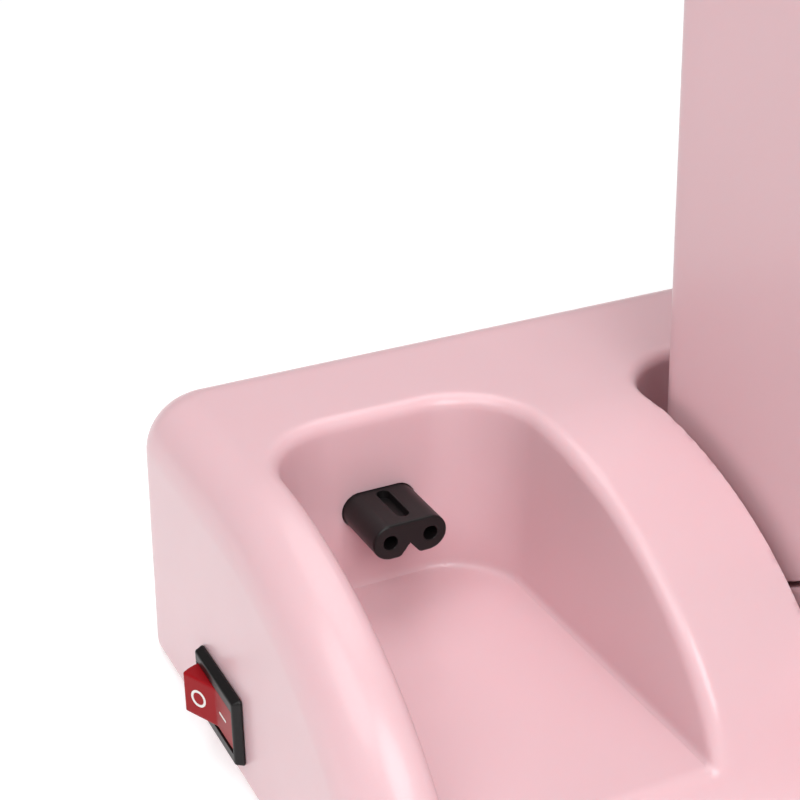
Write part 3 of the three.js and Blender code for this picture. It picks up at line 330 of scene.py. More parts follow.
class Nodes:
    """Short calls for building a node tree."""

    def __init__(self, name):
        self.material = bpy.data.materials.new(name)
        self.material.use_nodes = True
        self.tree = self.material.node_tree
        self.shader = self.tree.nodes["Principled BSDF"]

    def add(self, kind):
        return self.tree.nodes.new(kind)

    def link(self, source, output, target, socket):
        self.tree.links.new(source.outputs[output], target.inputs[socket])

    def noise(self, scale, detail):
        coordinates = self.add("ShaderNodeTexCoord")
        noise = self.add("ShaderNodeTexNoise")
        noise.inputs["Scale"].default_value = scale
        noise.inputs["Detail"].default_value = detail
        self.link(coordinates, "Object", noise, "Vector")
        return noise

    def ramp(self, source, low, high, start=0.3, end=0.7):
        ramp = self.add("ShaderNodeValToRGB")
        ramp.color_ramp.elements[0].position = start
        ramp.color_ramp.elements[0].color = (*low, 1)
        ramp.color_ramp.elements[1].position = end
        ramp.color_ramp.elements[1].color = (*high, 1)
        self.link(source, 0, ramp, "Fac")
        return ramp

    def spread(self, source, low, high):
        value = self.add("ShaderNodeMapRange")
        value.inputs["To Min"].default_value = low
        value.inputs["To Max"].default_value = high
        self.link(source, 0, value, "Value")
        return value

    def bump(self, source, distance, strength):
        bump = self.add("ShaderNodeBump")
        bump.inputs["Strength"].default_value = strength
        bump.inputs["Distance"].default_value = distance
        self.link(source, 0, bump, "Height")
        self.link(bump, 0, self.shader, "Normal")


def plastic(name, color, roughness, coat=0.0, scatter=0.0, grain=0.00002, gleam=0.5):
    """Moulded plastic: faint cloudy colour, uneven gloss and a very fine texture."""
    nodes = Nodes(name)
    cloudy = nodes.noise(14.0, 2.0)
    darker = tuple(c * 0.97 for c in color)
    tone = nodes.ramp(cloudy, darker, color)
    nodes.link(tone, 0, nodes.shader, "Base Color")
    gloss = nodes.spread(nodes.noise(60.0, 3.0), roughness * 0.88, roughness * 1.12)
    nodes.link(gloss, 0, nodes.shader, "Roughness")
    nodes.bump(nodes.noise(900.0, 2.0), grain, 0.35)
    nodes.shader.inputs["IOR"].default_value = 1.49
    nodes.shader.inputs["Specular IOR Level"].default_value = gleam
    nodes.shader.inputs["Coat Weight"].default_value = coat
    nodes.shader.inputs["Coat Roughness"].default_value = 0.12
    if scatter > 0:
        nodes.shader.inputs["Subsurface Weight"].default_value = scatter
        nodes.shader.inputs["Subsurface Radius"].default_value = (1.0, 0.35, 0.3)
        nodes.shader.inputs["Subsurface Scale"].default_value = 0.004
    return nodes.material


def metal(name, color, roughness, brushed=400.0):
    """Metal with a fine directional grain."""
    nodes = Nodes(name)
    nodes.shader.inputs["Metallic"].default_value = 1.0
    coordinates = nodes.add("ShaderNodeTexCoord")
    mapping = nodes.add("ShaderNodeMapping")
    mapping.inputs["Scale"].default_value = (brushed, brushed * 0.05, brushed)
    nodes.link(coordinates, "Object", mapping, "Vector")
    noise = nodes.add("ShaderNodeTexNoise")
    noise.inputs["Scale"].default_value = 1.0
    nodes.link(mapping, 0, noise, "Vector")
    tone = nodes.ramp(noise, tuple(c * 0.85 for c in color), color)
    nodes.link(tone, 0, nodes.shader, "Base Color")
    gloss = nodes.spread(noise, roughness * 0.8, roughness * 1.25)
    nodes.link(gloss, 0, nodes.shader, "Roughness")
    return nodes.material


def coating(name):
    """Dark non-stick coating: pale specks and a fine orange-peel texture."""
    nodes = Nodes(name)
    specks = nodes.noise(1400.0, 1.0)
    tone = nodes.ramp(specks, (0.030, 0.028, 0.029), (0.085, 0.080, 0.078), 0.62, 0.78)
    nodes.link(tone, 0, nodes.shader, "Base Color")
    gloss = nodes.spread(nodes.noise(90.0, 4.0), 0.32, 0.46)
    nodes.link(gloss, 0, nodes.shader, "Roughness")
    nodes.bump(nodes.noise(700.0, 3.0), 0.00004, 0.5)
    return nodes.material


def rubber(name):
    nodes = Nodes(name)
    tone = nodes.ramp(nodes.noise(80.0, 4.0), (0.022, 0.022, 0.024), (0.04, 0.04, 0.043))
    nodes.link(tone, 0, nodes.shader, "Base Color")
    gloss = nodes.spread(nodes.noise(150.0, 4.0), 0.7, 0.9)
    nodes.link(gloss, 0, nodes.shader, "Roughness")
    nodes.bump(nodes.noise(500.0, 3.0), 0.00008, 0.6)
    return nodes.material


PINK = plastic("pink_plastic", (0.735, 0.480, 0.514), 0.33, coat=0.15, scatter=0.25)
BLACK = plastic("black_plastic", (0.0065, 0.0052, 0.0055), 0.40, grain=0.00004, gleam=0.3)
RED = plastic("red_plastic", (0.30, 0.008, 0.012), 0.34, gleam=0.1)
WHITE = plastic("white_plastic", (0.78, 0.77, 0.74), 0.45)
GREEN = plastic("green_plastic", (0.05, 0.36, 0.10), 0.18, coat=0.4)
STEEL = metal("steel", (0.62, 0.62, 0.63), 0.34)
COATING = coating("nonstick_coating")
RUBBER = rubber("rubber")
FINISHES = {
    "pink_plastic": PINK, "black_plastic": BLACK, "red_plastic": RED, "white_plastic": WHITE,
    "green_plastic": GREEN, "steel": STEEL, "nonstick_coating": COATING, "rubber": RUBBER,
}


def dress(piece, finish, body, *nodes):
    """Gives a new piece its material and body, and hides the CAD nodes that it stands for."""
    piece.data.materials.append(FINISHES[finish])
    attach(piece, body)
    if nodes:
        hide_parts(*nodes)


# ---- station housing -------------------------------------------------------------------------

EDGE_ROUND = 11.0
PLAN_CORNER = 14.0       # at the deck
PLAN_CORNER_LOW = 8.5    # at the table
NOSE_REACH = NOSE_START - shell_low[1]
DECK = shell_high[2]
STATION_BOTTOM = shell_low[2]
STATION_LEFT = shell_low[0]
BAY_DRAFT = 0.02
BAY_RIM_ROUND = 2.8
LIP_ROUND = 0.9          # slot's sides
LIP_ROUND_REAR = 3.0     # slot's rear edge
LIP_LEAD = 4.0           # how far before the slot's corner the edge begins to soften
FRONT_ROUND = 6.0
BAY_FLOOR_ROUND = 1.2
BOTTOM_ROUND = 0.8
HOLE_CORNER = 0.5
INLET_LIP = 3.6


def nose_field(y, z, shrink=0.0):
    """Flat deck that runs into a quarter-ellipse nose."""
    reach = NOSE_REACH - shrink
    rise = DECK - TABLE_Z - shrink
    t = np.maximum(NOSE_START - y, 0)
    h = z - TABLE_Z
    a = np.sqrt((t / reach) ** 2 + (h / rise) ** 2)
    b = np.sqrt((t / reach ** 2) ** 2 + (h / rise ** 2) ** 2) + 1e-9
    return np.where(t > 0, np.maximum(a * (a - 1) / b, -60), z - DECK + shrink)


def station_body(x, y, z, shrink=0.0):
    share = np.clip((z - TABLE_Z) / (DECK - TABLE_Z), 0, 1)
    corner = PLAN_CORNER_LOW + (PLAN_CORNER - PLAN_CORNER_LOW) * share - shrink
    plan = rect_field(x, y, STATION_LEFT + shrink, shell_high[0] - shrink,
                      shell_low[1] - 40, shell_high[1] - shrink, corner)
    front = shell_low[1] + shrink - y
    plan = soft_max(plan, front, FRONT_ROUND)
    edge = max(EDGE_ROUND - shrink, 1.0)
    return soft_max(plan, nose_field(y, z, shrink), edge)


def bay_walls(x, y, z, grow=0.0):
    half = BAY_WIDTH / 2 + grow + BAY_DRAFT * (z - BAY_FLOOR)
    corner = BAY_CORNER + grow
    u = np.abs(x) - half + corner
    w = y - BAY_REAR - grow + corner
    outside = np.hypot(np.maximum(u, 0), np.maximum(w, 0))
    return np.minimum(np.maximum(u, w), 0) + outside - corner


def bay(x, y, z, grow=0.0):
    return soft_max(bay_walls(x, y, z, grow), BAY_FLOOR - grow - z, BAY_FLOOR_ROUND)


def slot(x, y, grow=0.0):
    return rect_field(x, y, SLOT_LEFT - grow, SLOT_RIGHT + grow,
                      -FAR, SLOT_REAR + grow, SLOT_CORNER + grow)


def lip_round(y):
    """Radius of the slot's edge: crisp along the sides, soft along the rear."""
    share = np.clip((y - SLOT_REAR + SLOT_CORNER + LIP_LEAD) / SLOT_CORNER, 0, 1)
    return LIP_ROUND + (LIP_ROUND_REAR - LIP_ROUND) * share * share * (3 - 2 * share)


def outlet_outline(x, z, grow=0.0):
    """The figure-eight section, without its notch."""
    u = np.maximum(np.abs(x) - OUTLET_PITCH / 2, 0)
    return np.hypot(u, z) - OUTLET_LOBE - grow


def outlet_hole(x, y, z):
    return np.maximum(outlet_outline(x, z, 0.2), slab(y, BAY_REAR - 5, BAY_REAR + 8))


switch_low, switch_high = node_box("switch_frame")
inlet_low, inlet_high = node_box("mains_inlet")
duct_low, duct_high = node_box("wire_duct")
SWITCH_Y = (switch_low[1] + switch_high[1]) / 2
SWITCH_Z = (switch_low[2] + switch_high[2]) / 2
BEZEL_HALF_Y = (switch_high[1] - switch_low[1]) / 2
BEZEL_HALF_Z = (switch_high[2] - switch_low[2]) / 2


def switch_hole(x, y, z):
    hole = rect_field(y, z, switch_low[1] + BEZEL_LIP, switch_high[1] - BEZEL_LIP,
                      switch_low[2] + BEZEL_LIP, switch_high[2] - BEZEL_LIP, HOLE_CORNER)
    return np.maximum(hole, slab(x, STATION_LEFT - 9, STATION_LEFT + 8))


def inlet_hole(x, y, z):
    hole = rect_field(x, z, inlet_low[0] + INLET_LIP, inlet_high[0] - INLET_LIP,
                      inlet_low[2] + INLET_LIP, inlet_high[2] - INLET_LIP, HOLE_CORNER)
    return np.maximum(hole, slab(y, shell_high[1] - 9, shell_high[1] + 9))


def duct_hole(x, y, z):
    """Where the wire duct leaves through the slot's rear wall."""
    low, high = duct_low - FIT, duct_high + FIT
    near, far = SLOT_REAR - 3, SLOT_REAR + 7
    return box_field((x, y, z), (low[0], near, low[2]), (high[0], far, high[2]), 0.2)


def station_field(p):
    x, y, z = p
    outer = station_body(x, y, z)
    inner = station_body(x, y, z, WALL)
    hollow = np.maximum(inner, -bay(x, y, z, WALL))
    hollow = np.maximum(hollow, -slot(x, y, WALL))
    shell = soft_max(outer, -bay(x, y, z), BAY_RIM_ROUND)
    shell = soft_max(shell, -slot(x, y), lip_round(y))
    shell = np.maximum(shell, -hollow)
    for hole in (outlet_hole, switch_hole, inlet_hole, duct_hole):
        shell = np.maximum(shell, -hole(x, y, z))
    return soft_max(shell, STATION_BOTTOM - z, BOTTOM_ROUND)


def make_station():
    grid = (
        steps((STATION_LEFT - 4, 82, 1.0), (82, SLOT_RIGHT - 24, 4.0),
              (SLOT_RIGHT - 24, shell_high[0] + 3, 1.6)),
        steps((shell_low[1] - 3, shell_high[1] + 3, 1.15)),
        steps((STATION_BOTTOM - 2, DECK + 3, 0.9)),
    )
    piece = field_piece("station_housing", station_field, grid)
    dress(piece, "pink_plastic", "station_and_base", "station_shell")


# ---- outlet ----------------------------------------------------------------------------------

OUTLET_EDGE = 0.45
GROOVE_HALF = 1.4
GROOVE_START = 2.4       # front face to the groove in its top
GROOVE_DEPTH = 1.7


def outlet_field(p):
    x, y, z = p
    tail = BAY_REAR + WALL + OUTLET_TAIL
    body = soft_max(outlet_outline(x, z), slab(y, 0, tail), OUTLET_EDGE)
    back = BAY_REAR + WALL + TOUCH
    width, height, thick = OUTLET_FLANGE
    flange = box_field(p, (-width, back, -height), (width, back + thick, height), 0.3)
    body = np.minimum(body, flange)
    slope = math.atan2(NOTCH_HALF, NOTCH_DEPTH)
    apex = NOTCH_DEPTH - OUTLET_LOBE
    notch = (np.abs(x) - (apex - z) * math.tan(slope)) * math.cos(slope)
    body = soft_max(body, -np.maximum(notch, y - BAY_REAR + 1), 0.35)
    groove = rect_field(x, y, -GROOVE_HALF, GROOVE_HALF, GROOVE_START, BAY_REAR - 1, 1.3)
    groove = np.maximum(groove, OUTLET_LOBE - GROOVE_DEPTH - z)
    body = soft_max(body, -groove, 0.2)
    hole = np.hypot(np.abs(x) - OUTLET_HOLE_PITCH / 2, z) - OUTLET_HOLE
    return soft_max(body, -np.maximum(hole, y - BAY_REAR + 3), 0.25)


def make_outlet():
    grid = (steps((-12, 12, 0.33)), steps((-1, 14, 0.33), (14, 27.5, 0.6)), steps((-6.5, 6.5, 0.3)))
    piece = field_piece("outlet_body", outlet_field, grid)
    dress(piece, "black_plastic", "station_and_base", "outlet_connector")


# ---- rocker switch ---------------------------------------------------------------------------

ROCKER_TILT = math.radians(ROCKER_DEG / 2)
ROCKER_BACK_DEG = 118.0  # where the rocker's round sides end
BEZEL_CORNER = 0.8
BEZEL_SLANT = 0.45       # how far the bezel's sides lean in, per millimetre outwards
BLADE_AT = 5.0
BLADE_HALF = (2.4, 0.4)
MARK_RISE = 0.07
MARK_SINK = 0.3
RING_AT = 4.6
RING_RADIUS = 1.6
RING_HALF_STROKE = 0.26
BAR_FROM, BAR_TO = -4.9, -1.6
BAR_HALF_STROKE = 0.24


def bezel_field(p):
    x, y, z = p
    out = STATION_LEFT - x
    along = y - SWITCH_Y
    high = z - SWITCH_Z
    rim = rect_field(along, high, -BEZEL_HALF_Y, BEZEL_HALF_Y,
                     -BEZEL_HALF_Z, BEZEL_HALF_Z, BEZEL_CORNER)
    slant = BEZEL_SLANT * np.clip(out - 0.5, 0, 3)
    rim = soft_max(rim + slant, slab(out, 0.05, BEZEL_PROUD), 0.3)
    side = BEZEL_HALF_Y - BEZEL_LIP - TOUCH
    top = BEZEL_HALF_Z - BEZEL_LIP - TOUCH
    q = (out, along, high)
    back = -SWITCH_BODY_DEPTH
    frame_part = np.minimum(rim, box_field(q, (back, -side, -top), (1.5, side, top), 0.3))
    wide, tall = BLADE_HALF
    for at in (-BLADE_AT, BLADE_AT):
        low, high_corner = (back - 0.6, at - wide, -tall), (back + 0.5, at + wide, tall)
        frame_part = np.minimum(frame_part, box_field(q, low, high_corner, 0.1))
    well = np.maximum(np.hypot(out, along) - ROCKER_RADIUS - 0.15,
                      np.abs(high) - ROCKER_HEIGHT / 2 - TOUCH)
    well = np.maximum(well, -SWITCH_BODY_DEPTH + 1.5 - out)
    return soft_max(frame_part, -well, 0.15)


def rocker_axes(x, y):
    """Outwards and along the rocker, in its own tilted frame."""
    out = STATION_LEFT - x
    along = y - SWITCH_Y
    cos, sin = math.cos(ROCKER_TILT), math.sin(ROCKER_TILT)
    return out * cos - along * sin, out * sin + along * cos


def rocker_face(out, along):
    crease = np.sqrt(along * along + 0.09)
    return (out - ROCKER_CREST - math.tan(ROCKER_TILT) * crease) * math.cos(ROCKER_TILT)


def rocker_field(p):
    x, y, z = p
    out, along = rocker_axes(x, y)
    back = ROCKER_RADIUS * math.cos(math.radians(ROCKER_BACK_DEG))
    body = soft_max(np.hypot(out, along) - ROCKER_RADIUS, rocker_face(out, along), 0.4)
    body = np.maximum(body, back - out)
    return soft_max(body, np.abs(z - SWITCH_Z) - ROCKER_HEIGHT / 2, 0.35)


def ring_mark(p):
    x, y, z = p
    out, along = rocker_axes(x, y)
    ring = np.abs(np.hypot(along - RING_AT, z - SWITCH_Z) - RING_RADIUS) - RING_HALF_STROKE
    return np.maximum(ring, slab(rocker_face(out, along), -MARK_SINK, MARK_RISE))


def bar_mark(p):
    x, y, z = p
    out, along = rocker_axes(x, y)
    stroke = rect_field(along, z - SWITCH_Z, BAR_FROM, BAR_TO,
                        -BAR_HALF_STROKE, BAR_HALF_STROKE, 0.1)
    return np.maximum(stroke, slab(rocker_face(out, along), -MARK_SINK, MARK_RISE))


def make_switch():
    grid = (
        steps((STATION_LEFT - BEZEL_PROUD - 1, STATION_LEFT + 1, 0.22),
              (STATION_LEFT + 1, STATION_LEFT + 13.5, 0.7)),
        steps((switch_low[1] - 1, switch_high[1] + 1, 0.35)),
        steps((switch_low[2] - 1, switch_high[2] + 1, 0.35)),
    )
    bezel = field_piece("switch_bezel", bezel_field, grid)
    dress(bezel, "black_plastic", "station_and_base", "switch_frame")
    around = (
        steps((STATION_LEFT - 7.5, STATION_LEFT + 7.5, 0.25)),
        steps((SWITCH_Y - 10.5, SWITCH_Y + 10.5, 0.25)),
        steps((SWITCH_Z - 5.5, SWITCH_Z + 5.5, 0.4)),
    )
    rocker = field_piece("rocker", rocker_field, around)
    dress(rocker, "red_plastic", "rocker", "switch_rocker")
    fine_y = steps((SWITCH_Y + 1, SWITCH_Y + 8, 0.1))
    fine_z = steps((SWITCH_Z - 2.3, SWITCH_Z + 2.3, 0.1))
    ring_grid = (steps((STATION_LEFT - 6, STATION_LEFT, 0.1)), fine_y, fine_z)
    ring = field_piece("rocker_off_mark", ring_mark, ring_grid)
    dress(ring, "white_plastic", "rocker")
    bar_y = steps((SWITCH_Y - 6, SWITCH_Y, 0.1))
    bar_grid = (steps((STATION_LEFT - 4, STATION_LEFT, 0.1)), bar_y, fine_z)
    bar = field_piece("rocker_on_mark", bar_mark, bar_grid)
    dress(bar, "white_plastic", "rocker")


# ---- clamshell -------------------------------------------------------------------------------
#
# Both halves are drawn as (x, forward of the hinge, depth from the rim plane), the lid as it
# lies when shut, then placed as they stand at rest. Their inner faces are never seen, so the
# posts and ledges inside are left to the CAD.

SLOPE = math.radians(SLOPE_DEG)
TAPER = math.radians(LID_TAPER_DEG)
LID_SEAM = SLOPE_GAP / math.cos(SLOPE) - RIM
LID_REAR = LID_SEAM - math.tan(SLOPE) * LID_THICK
PLATE_WIDTH = BODY_WIDTH - 2 * RIM_SIDE - 2 * PLATE_CLEAR
PLATE_DEPTH = BODY_DEPTH - RIM_SIDE - RIM_REAR - 2 * PLATE_CLEAR
PLATE_MIDDLE = (RIM_REAR + BODY_DEPTH - RIM_SIDE) / 2
LAMP_Y = BODY_DEPTH - LAMP_INSET
EDGE_SOFT = 0.6
OPENING_EDGE = 0.4
PIN_POCKET = 2.2         # depth of the pockets for the pins' heads
COVER_CORNER = 2.0


def lid_depth(f):
    return LID_THICK + math.tan(TAPER) * (f - LID_REAR)


def base_place(points):
    x, f, d = points.T
    return np.stack([BODY_MIDDLE + x, HINGE[1] - f, HINGE[2] - d], axis=1)


def lid_place(points):
    x, f, d = points.T
    return np.stack([BODY_MIDDLE - x, HINGE[1] + d, HINGE[2] + f], axis=1)


def half_plan(x, f, shrink, rear=-FAR):
    corner = FRONT_CORNER - shrink
    flat = rect_field(x, f, -HALF + shrink, HALF - shrink, -FAR, BODY_DEPTH - shrink, corner)
    return soft_max(flat, rear + shrink - f, max(SIDE_ROUND - shrink, 0.6))


def lid_body(x, f, d, shrink=0.0):
    outer = (d - lid_depth(f)) * math.cos(TAPER) + shrink
    body = soft_max(half_plan(x, f, shrink), outer, SIDE_ROUND - shrink)
    slope = (LID_SEAM - math.tan(SLOPE) * d - f) * math.cos(SLOPE) + shrink
    return soft_max(soft_max(body, slope, EDGE_SOFT), RIM - d + shrink, EDGE_SOFT)


def base_body(x, f, d, shrink=0.0):
    plan = half_plan(x, f, shrink, -LID_THICK)
    body = soft_max(plan, d - BASE_DEPTH + shrink, SIDE_ROUND - shrink)
    slope = (RIM - math.tan(SLOPE) * f - d) * math.cos(SLOPE) + shrink
    return soft_max(soft_max(body, slope, EDGE_SOFT), RIM - d + shrink, EDGE_SOFT)


def plate_opening(x, f, d):
    corner = PLATE_CORNER + PLATE_CLEAR
    side = HALF - RIM_SIDE
    plan = rect_field(x, f, -side, side, RIM_REAR, BODY_DEPTH - RIM_SIDE, corner)
    return np.maximum(plan, d - RIM - WALL - 3)


def knuckle(x, f, d, index, grow=0.0):
    near = HALF - KNUCKLE_INSET - index * (KNUCKLE_WIDTH + KNUCKLE_GAP)
    ends = slab(np.abs(x), near - KNUCKLE_WIDTH - grow, near + grow)
    return soft_max(np.hypot(f, d) - KNUCKLE_RADIUS - grow, ends, 0.4)


def hinge_bore(x, f, d):
    outer = HALF - KNUCKLE_INSET
    inner = outer - 3 * KNUCKLE_WIDTH - 2 * KNUCKLE_GAP - 2
    r = np.hypot(f, d)
    bore = np.maximum(r - PIN_RADIUS - TOUCH, slab(np.abs(x), inner, outer))
    pocket = np.maximum(r - PIN_HEAD_RADIUS - FIT, slab(np.abs(x), outer, outer + PIN_POCKET))
    return np.minimum(bore, pocket)


def base_field(p):
    x, f, d = p
    shell = np.maximum(base_body(x, f, d), -base_body(x, f, d, WALL))
    side, front_end = HALF - WALL, BODY_DEPTH - WALL
    under = rect_field(x, f, -side, side, -LID_THICK + WALL, front_end, COVER_CORNER)
    front = rect_field(x, f, -side, side, -FAR, front_end, FRONT_CORNER - WALL)
    shell = np.maximum(shell, -np.maximum(np.maximum(under, front), BASE_DEPTH - WALL - 3 - d))
    shell = soft_max(shell, -plate_opening(x, f, d), OPENING_EDGE)
    duct_floor = BASE_DEPTH - COVER_THICK
    duct_top = duct_floor - DUCT_HEIGHT - 2 * FIT
    half_duct = DUCT_WIDTH / 2 + FIT
    duct = box_field(p, (-half_duct, -LID_THICK - 5, duct_top),
                     (half_duct, -LID_THICK + WALL + 3, duct_floor), 0.2)
    shell = np.maximum(shell, -duct)
    for index in (0, 2):
        shell = np.minimum(shell, knuckle(x, f, d, index))
    shell = np.maximum(shell, -knuckle(x, f, d, 1, KNUCKLE_GAP))
    return np.maximum(shell, -hinge_bore(x, f, d))


def lid_field(p):
    x, f, d = p
    shell = np.maximum(lid_body(x, f, d), -lid_body(x, f, d, WALL))
    shell = soft_max(shell, -plate_opening(x, f, d), OPENING_EDGE)
    shell = np.minimum(shell, knuckle(x, f, d, 1))
    for index in (0, 2):
        shell = np.maximum(shell, -knuckle(x, f, d, index, KNUCKLE_GAP))
    lamp = np.hypot(np.abs(x) - LAMP_PITCH / 2, f - LAMP_Y) - LAMP_RADIUS - FIT
    shell = np.maximum(shell, -np.maximum(lamp, LID_THICK - 4 - d))
    return np.maximum(shell, -hinge_bore(x, f, d))


def body_grid(rear, depth):
    """Fine at the hinge, the rim and the outer edges, coarse on the flats."""
    hinge_out = HALF - KNUCKLE_INSET + 4
    hinge_in = hinge_out - 40
    return (
        steps((-HALF - 3, -hinge_out, 1.2), (-hinge_out, -hinge_in, 1.0),
              (-hinge_in, hinge_in, 2.4),
              (hinge_in, hinge_out, 1.0), (hinge_out, HALF + 3, 1.2)),
        steps((rear - 3, -9, 1.4), (-9, 9, 1.0), (9, BODY_DEPTH - 26, 2.4),
              (BODY_DEPTH - 26, BODY_DEPTH + 3, 1.2)),
        steps((-7, 9, 0.8), (9, depth - 9, 1.6), (depth - 9, depth + 3, 1.0)),
    )


def make_halves():
    base = field_piece("base_housing", base_field, body_grid(-LID_THICK, BASE_DEPTH), base_place)
    dress(base, "pink_plastic", "station_and_base", "lower_housing")
    lid_grid = body_grid(LID_REAR, lid_depth(BODY_DEPTH))
    lid = field_piece("lid_shell", lid_field, lid_grid, lid_place)
    dress(lid, "pink_plastic", "lid", "lid_housing")


# ---- baking plates ---------------------------------------------------------------------------

SCREW_X = PLATE_WIDTH / 2 - PLATE_SCREW_INSET
RING_MIDDLE = (DONUT_RADIUS + DONUT_HOLE) / 2
RING_HALF = (DONUT_RADIUS - DONUT_HOLE) / 2
PLATE_EDGE = 0.7
RING_EDGE = 1.2
CUP_FILLET = 1.0


def ring_section(r, d, grow=0.0):
    """The round-bottomed trough of one ring, as a distance."""
    half = RING_HALF + grow
    deep = DONUT_DEPTH + grow
    across = (r - RING_MIDDLE) / half
    down = (d - RIM) / deep
    return (np.hypot(across, down) - 1) * min(half, deep)


def plate_field(p):
    x, f, d = p
    u = np.abs(x) - RING_PITCH_X / 2
    v = np.abs(f - PLATE_MIDDLE) - RING_PITCH_Y / 2
    r = np.hypot(u, v)
    plan = rect_field(x, f, -PLATE_WIDTH / 2, PLATE_WIDTH / 2,
                      PLATE_MIDDLE - PLATE_DEPTH / 2, PLATE_MIDDLE + PLATE_DEPTH / 2, PLATE_CORNER)
    sheet = soft_max(plan, slab(d, RIM, RIM + PLATE_THICK), PLATE_EDGE)
    cup = np.maximum(ring_section(r, d, CUP_WALL), RIM + 1 - d)
    plate = soft_max(soft_min(sheet, cup, CUP_FILLET), -ring_section(r, d), RING_EDGE)
    at_screw = np.hypot(np.abs(x) - SCREW_X, f - PLATE_MIDDLE)
    recess = np.maximum(at_screw - SCREW_HEAD_RADIUS - TOUCH,
                        d - RIM - SCREW_HEAD_THICK - TOUCH)
    plate = soft_max(plate, -recess, 0.3)
    return np.maximum(plate, -(at_screw - SCREW_RADIUS - TOUCH))


def make_plates():
    half_width = PLATE_WIDTH / 2 + 2
    half_depth = PLATE_DEPTH / 2 + 2
    grid = (
        steps((-half_width, half_width, 1.1)),
        steps((PLATE_MIDDLE - half_depth, PLATE_MIDDLE + half_depth, 1.1)),
        steps((-1.5, 18.5, 0.8)),
    )
    lower = field_piece("lower_baking_plate", plate_field, grid, base_place)
    dress(lower, "nonstick_coating", "station_and_base", "lower_plate")
    upper = field_piece("upper_baking_plate", plate_field, grid, lid_place)
    dress(upper, "nonstick_coating", "lid", "upper_plate")


# ---- lamps and screws ------------------------------------------------------------------------

LAMP_STEM = 4.5
LAMP_CURVE = 0.045       # fall of the dome, times the radius squared
HEAD_CURVE = 0.02
THREAD_PITCH = 1.1
THREAD_DEPTH = 0.22
CROSS_HALF = 0.38
CROSS_REACH = 1.6
CROSS_DEPTH = 0.95
CROSS_TAPER = 0.25


def lamp_field(p):
    u, v, w = p
    r = np.hypot(u, v)
    dome = -w + LAMP_CURVE * r * r
    return np.maximum(soft_max(r - LAMP_RADIUS, dome, 0.5), w - LAMP_STEM)


def make_lamps():
    grid = (steps((-4.4, 4.4, 0.35)), steps((-4.4, 4.4, 0.35)), steps((-0.8, 5.2, 0.3)))
    for node, finish in (("power_lamp", "red_plastic"), ("ready_lamp", "green_plastic")):
        low, high = node_box(node)
        middle = (low + high) / 2
        at = np.array([middle[0], high[1], middle[2]])

        def place(points, at=at):
            u, v, w = points.T
            return at + np.stack([u, -w, v], axis=1)

        piece = field_piece(node + "_lens", lamp_field, grid, place)
        dress(piece, finish, "lid", node)


def screw_field(length):
    """A threaded screw with a cross recess; w runs from the top of its head to its tip."""
    def field(p):
        u, v, w = p
        r = np.hypot(u, v)
        crown = slab(w + HEAD_CURVE * r * r, 0, SCREW_HEAD_THICK)
        head = soft_max(r - SCREW_HEAD_RADIUS, crown, 0.35)
        tip = np.maximum(w - length, r - SCREW_RADIUS)
        turn = np.mod(w / THREAD_PITCH + np.arctan2(v, u) / math.tau, 1)
        thread = r - SCREW_RADIUS + THREAD_DEPTH * np.abs(turn * 2 - 1)
        shank = np.maximum(np.maximum(thread, tip), SCREW_HEAD_THICK - 0.4 - w)
        cross = np.minimum(
            rect_field(u, v, -CROSS_HALF, CROSS_HALF, -CROSS_REACH, CROSS_REACH, 0.1),
            rect_field(u, v, -CROSS_REACH, CROSS_REACH, -CROSS_HALF, CROSS_HALF, 0.1))
        cross = np.maximum(cross + CROSS_TAPER * np.clip(w, 0, 2), w - CROSS_DEPTH)
        return np.maximum(np.minimum(head, shank), -cross)
    return field


def make_screws():
    side = np.array([1.0, 0, 0])
    for name in frame["nodes"]:
        if "screw" not in name:
            continue
        low, high = node_box(name)
        middle = (low + high) / 2
        if name.startswith("upper_plate"):
            at, along = np.array([middle[0], low[1], middle[2]]), np.array([0, 1.0, 0])
        elif name.startswith("lower_plate"):
            at, along = np.array([middle[0], middle[1], high[2]]), np.array([0, 0, -1.0])
        else:
            at, along = np.array([middle[0], middle[1], low[2]]), np.array([0, 0, 1.0])
        other = np.cross(along, side)
        length = float(np.max(np.abs(along) * (high - low)))

        def place(points, at=at, along=along, other=other):
            return at + points[:, :1] * side + points[:, 1:2] * other + points[:, 2:] * along

        grid = (steps((-3.6, 3.6, 0.3)), steps((-3.6, 3.6, 0.3)), steps((-0.6, length + 0.6, 0.28)))
        piece = field_piece(name + "_turned", screw_field(length), grid, place)
        body = "lid" if name.startswith("upper_plate") else "station_and_base"
        dress(piece, "steel", body, name)


# ---- floor, light and camera -----------------------------------------------------------------

CAMERA_FROM_OUTLET = (-122.8, -248.5, 166.3)
CAMERA_YAW = 25.93
CAMERA_PITCH = 26.21
CAMERA_ROLL = -0.65
CAMERA_LENS = 74.7
SENSOR_WIDTH = 36.0
FLOOR_REACH = 6.0
FLOOR_GLOW = 0.44
SKY_STRENGTH = 0.22


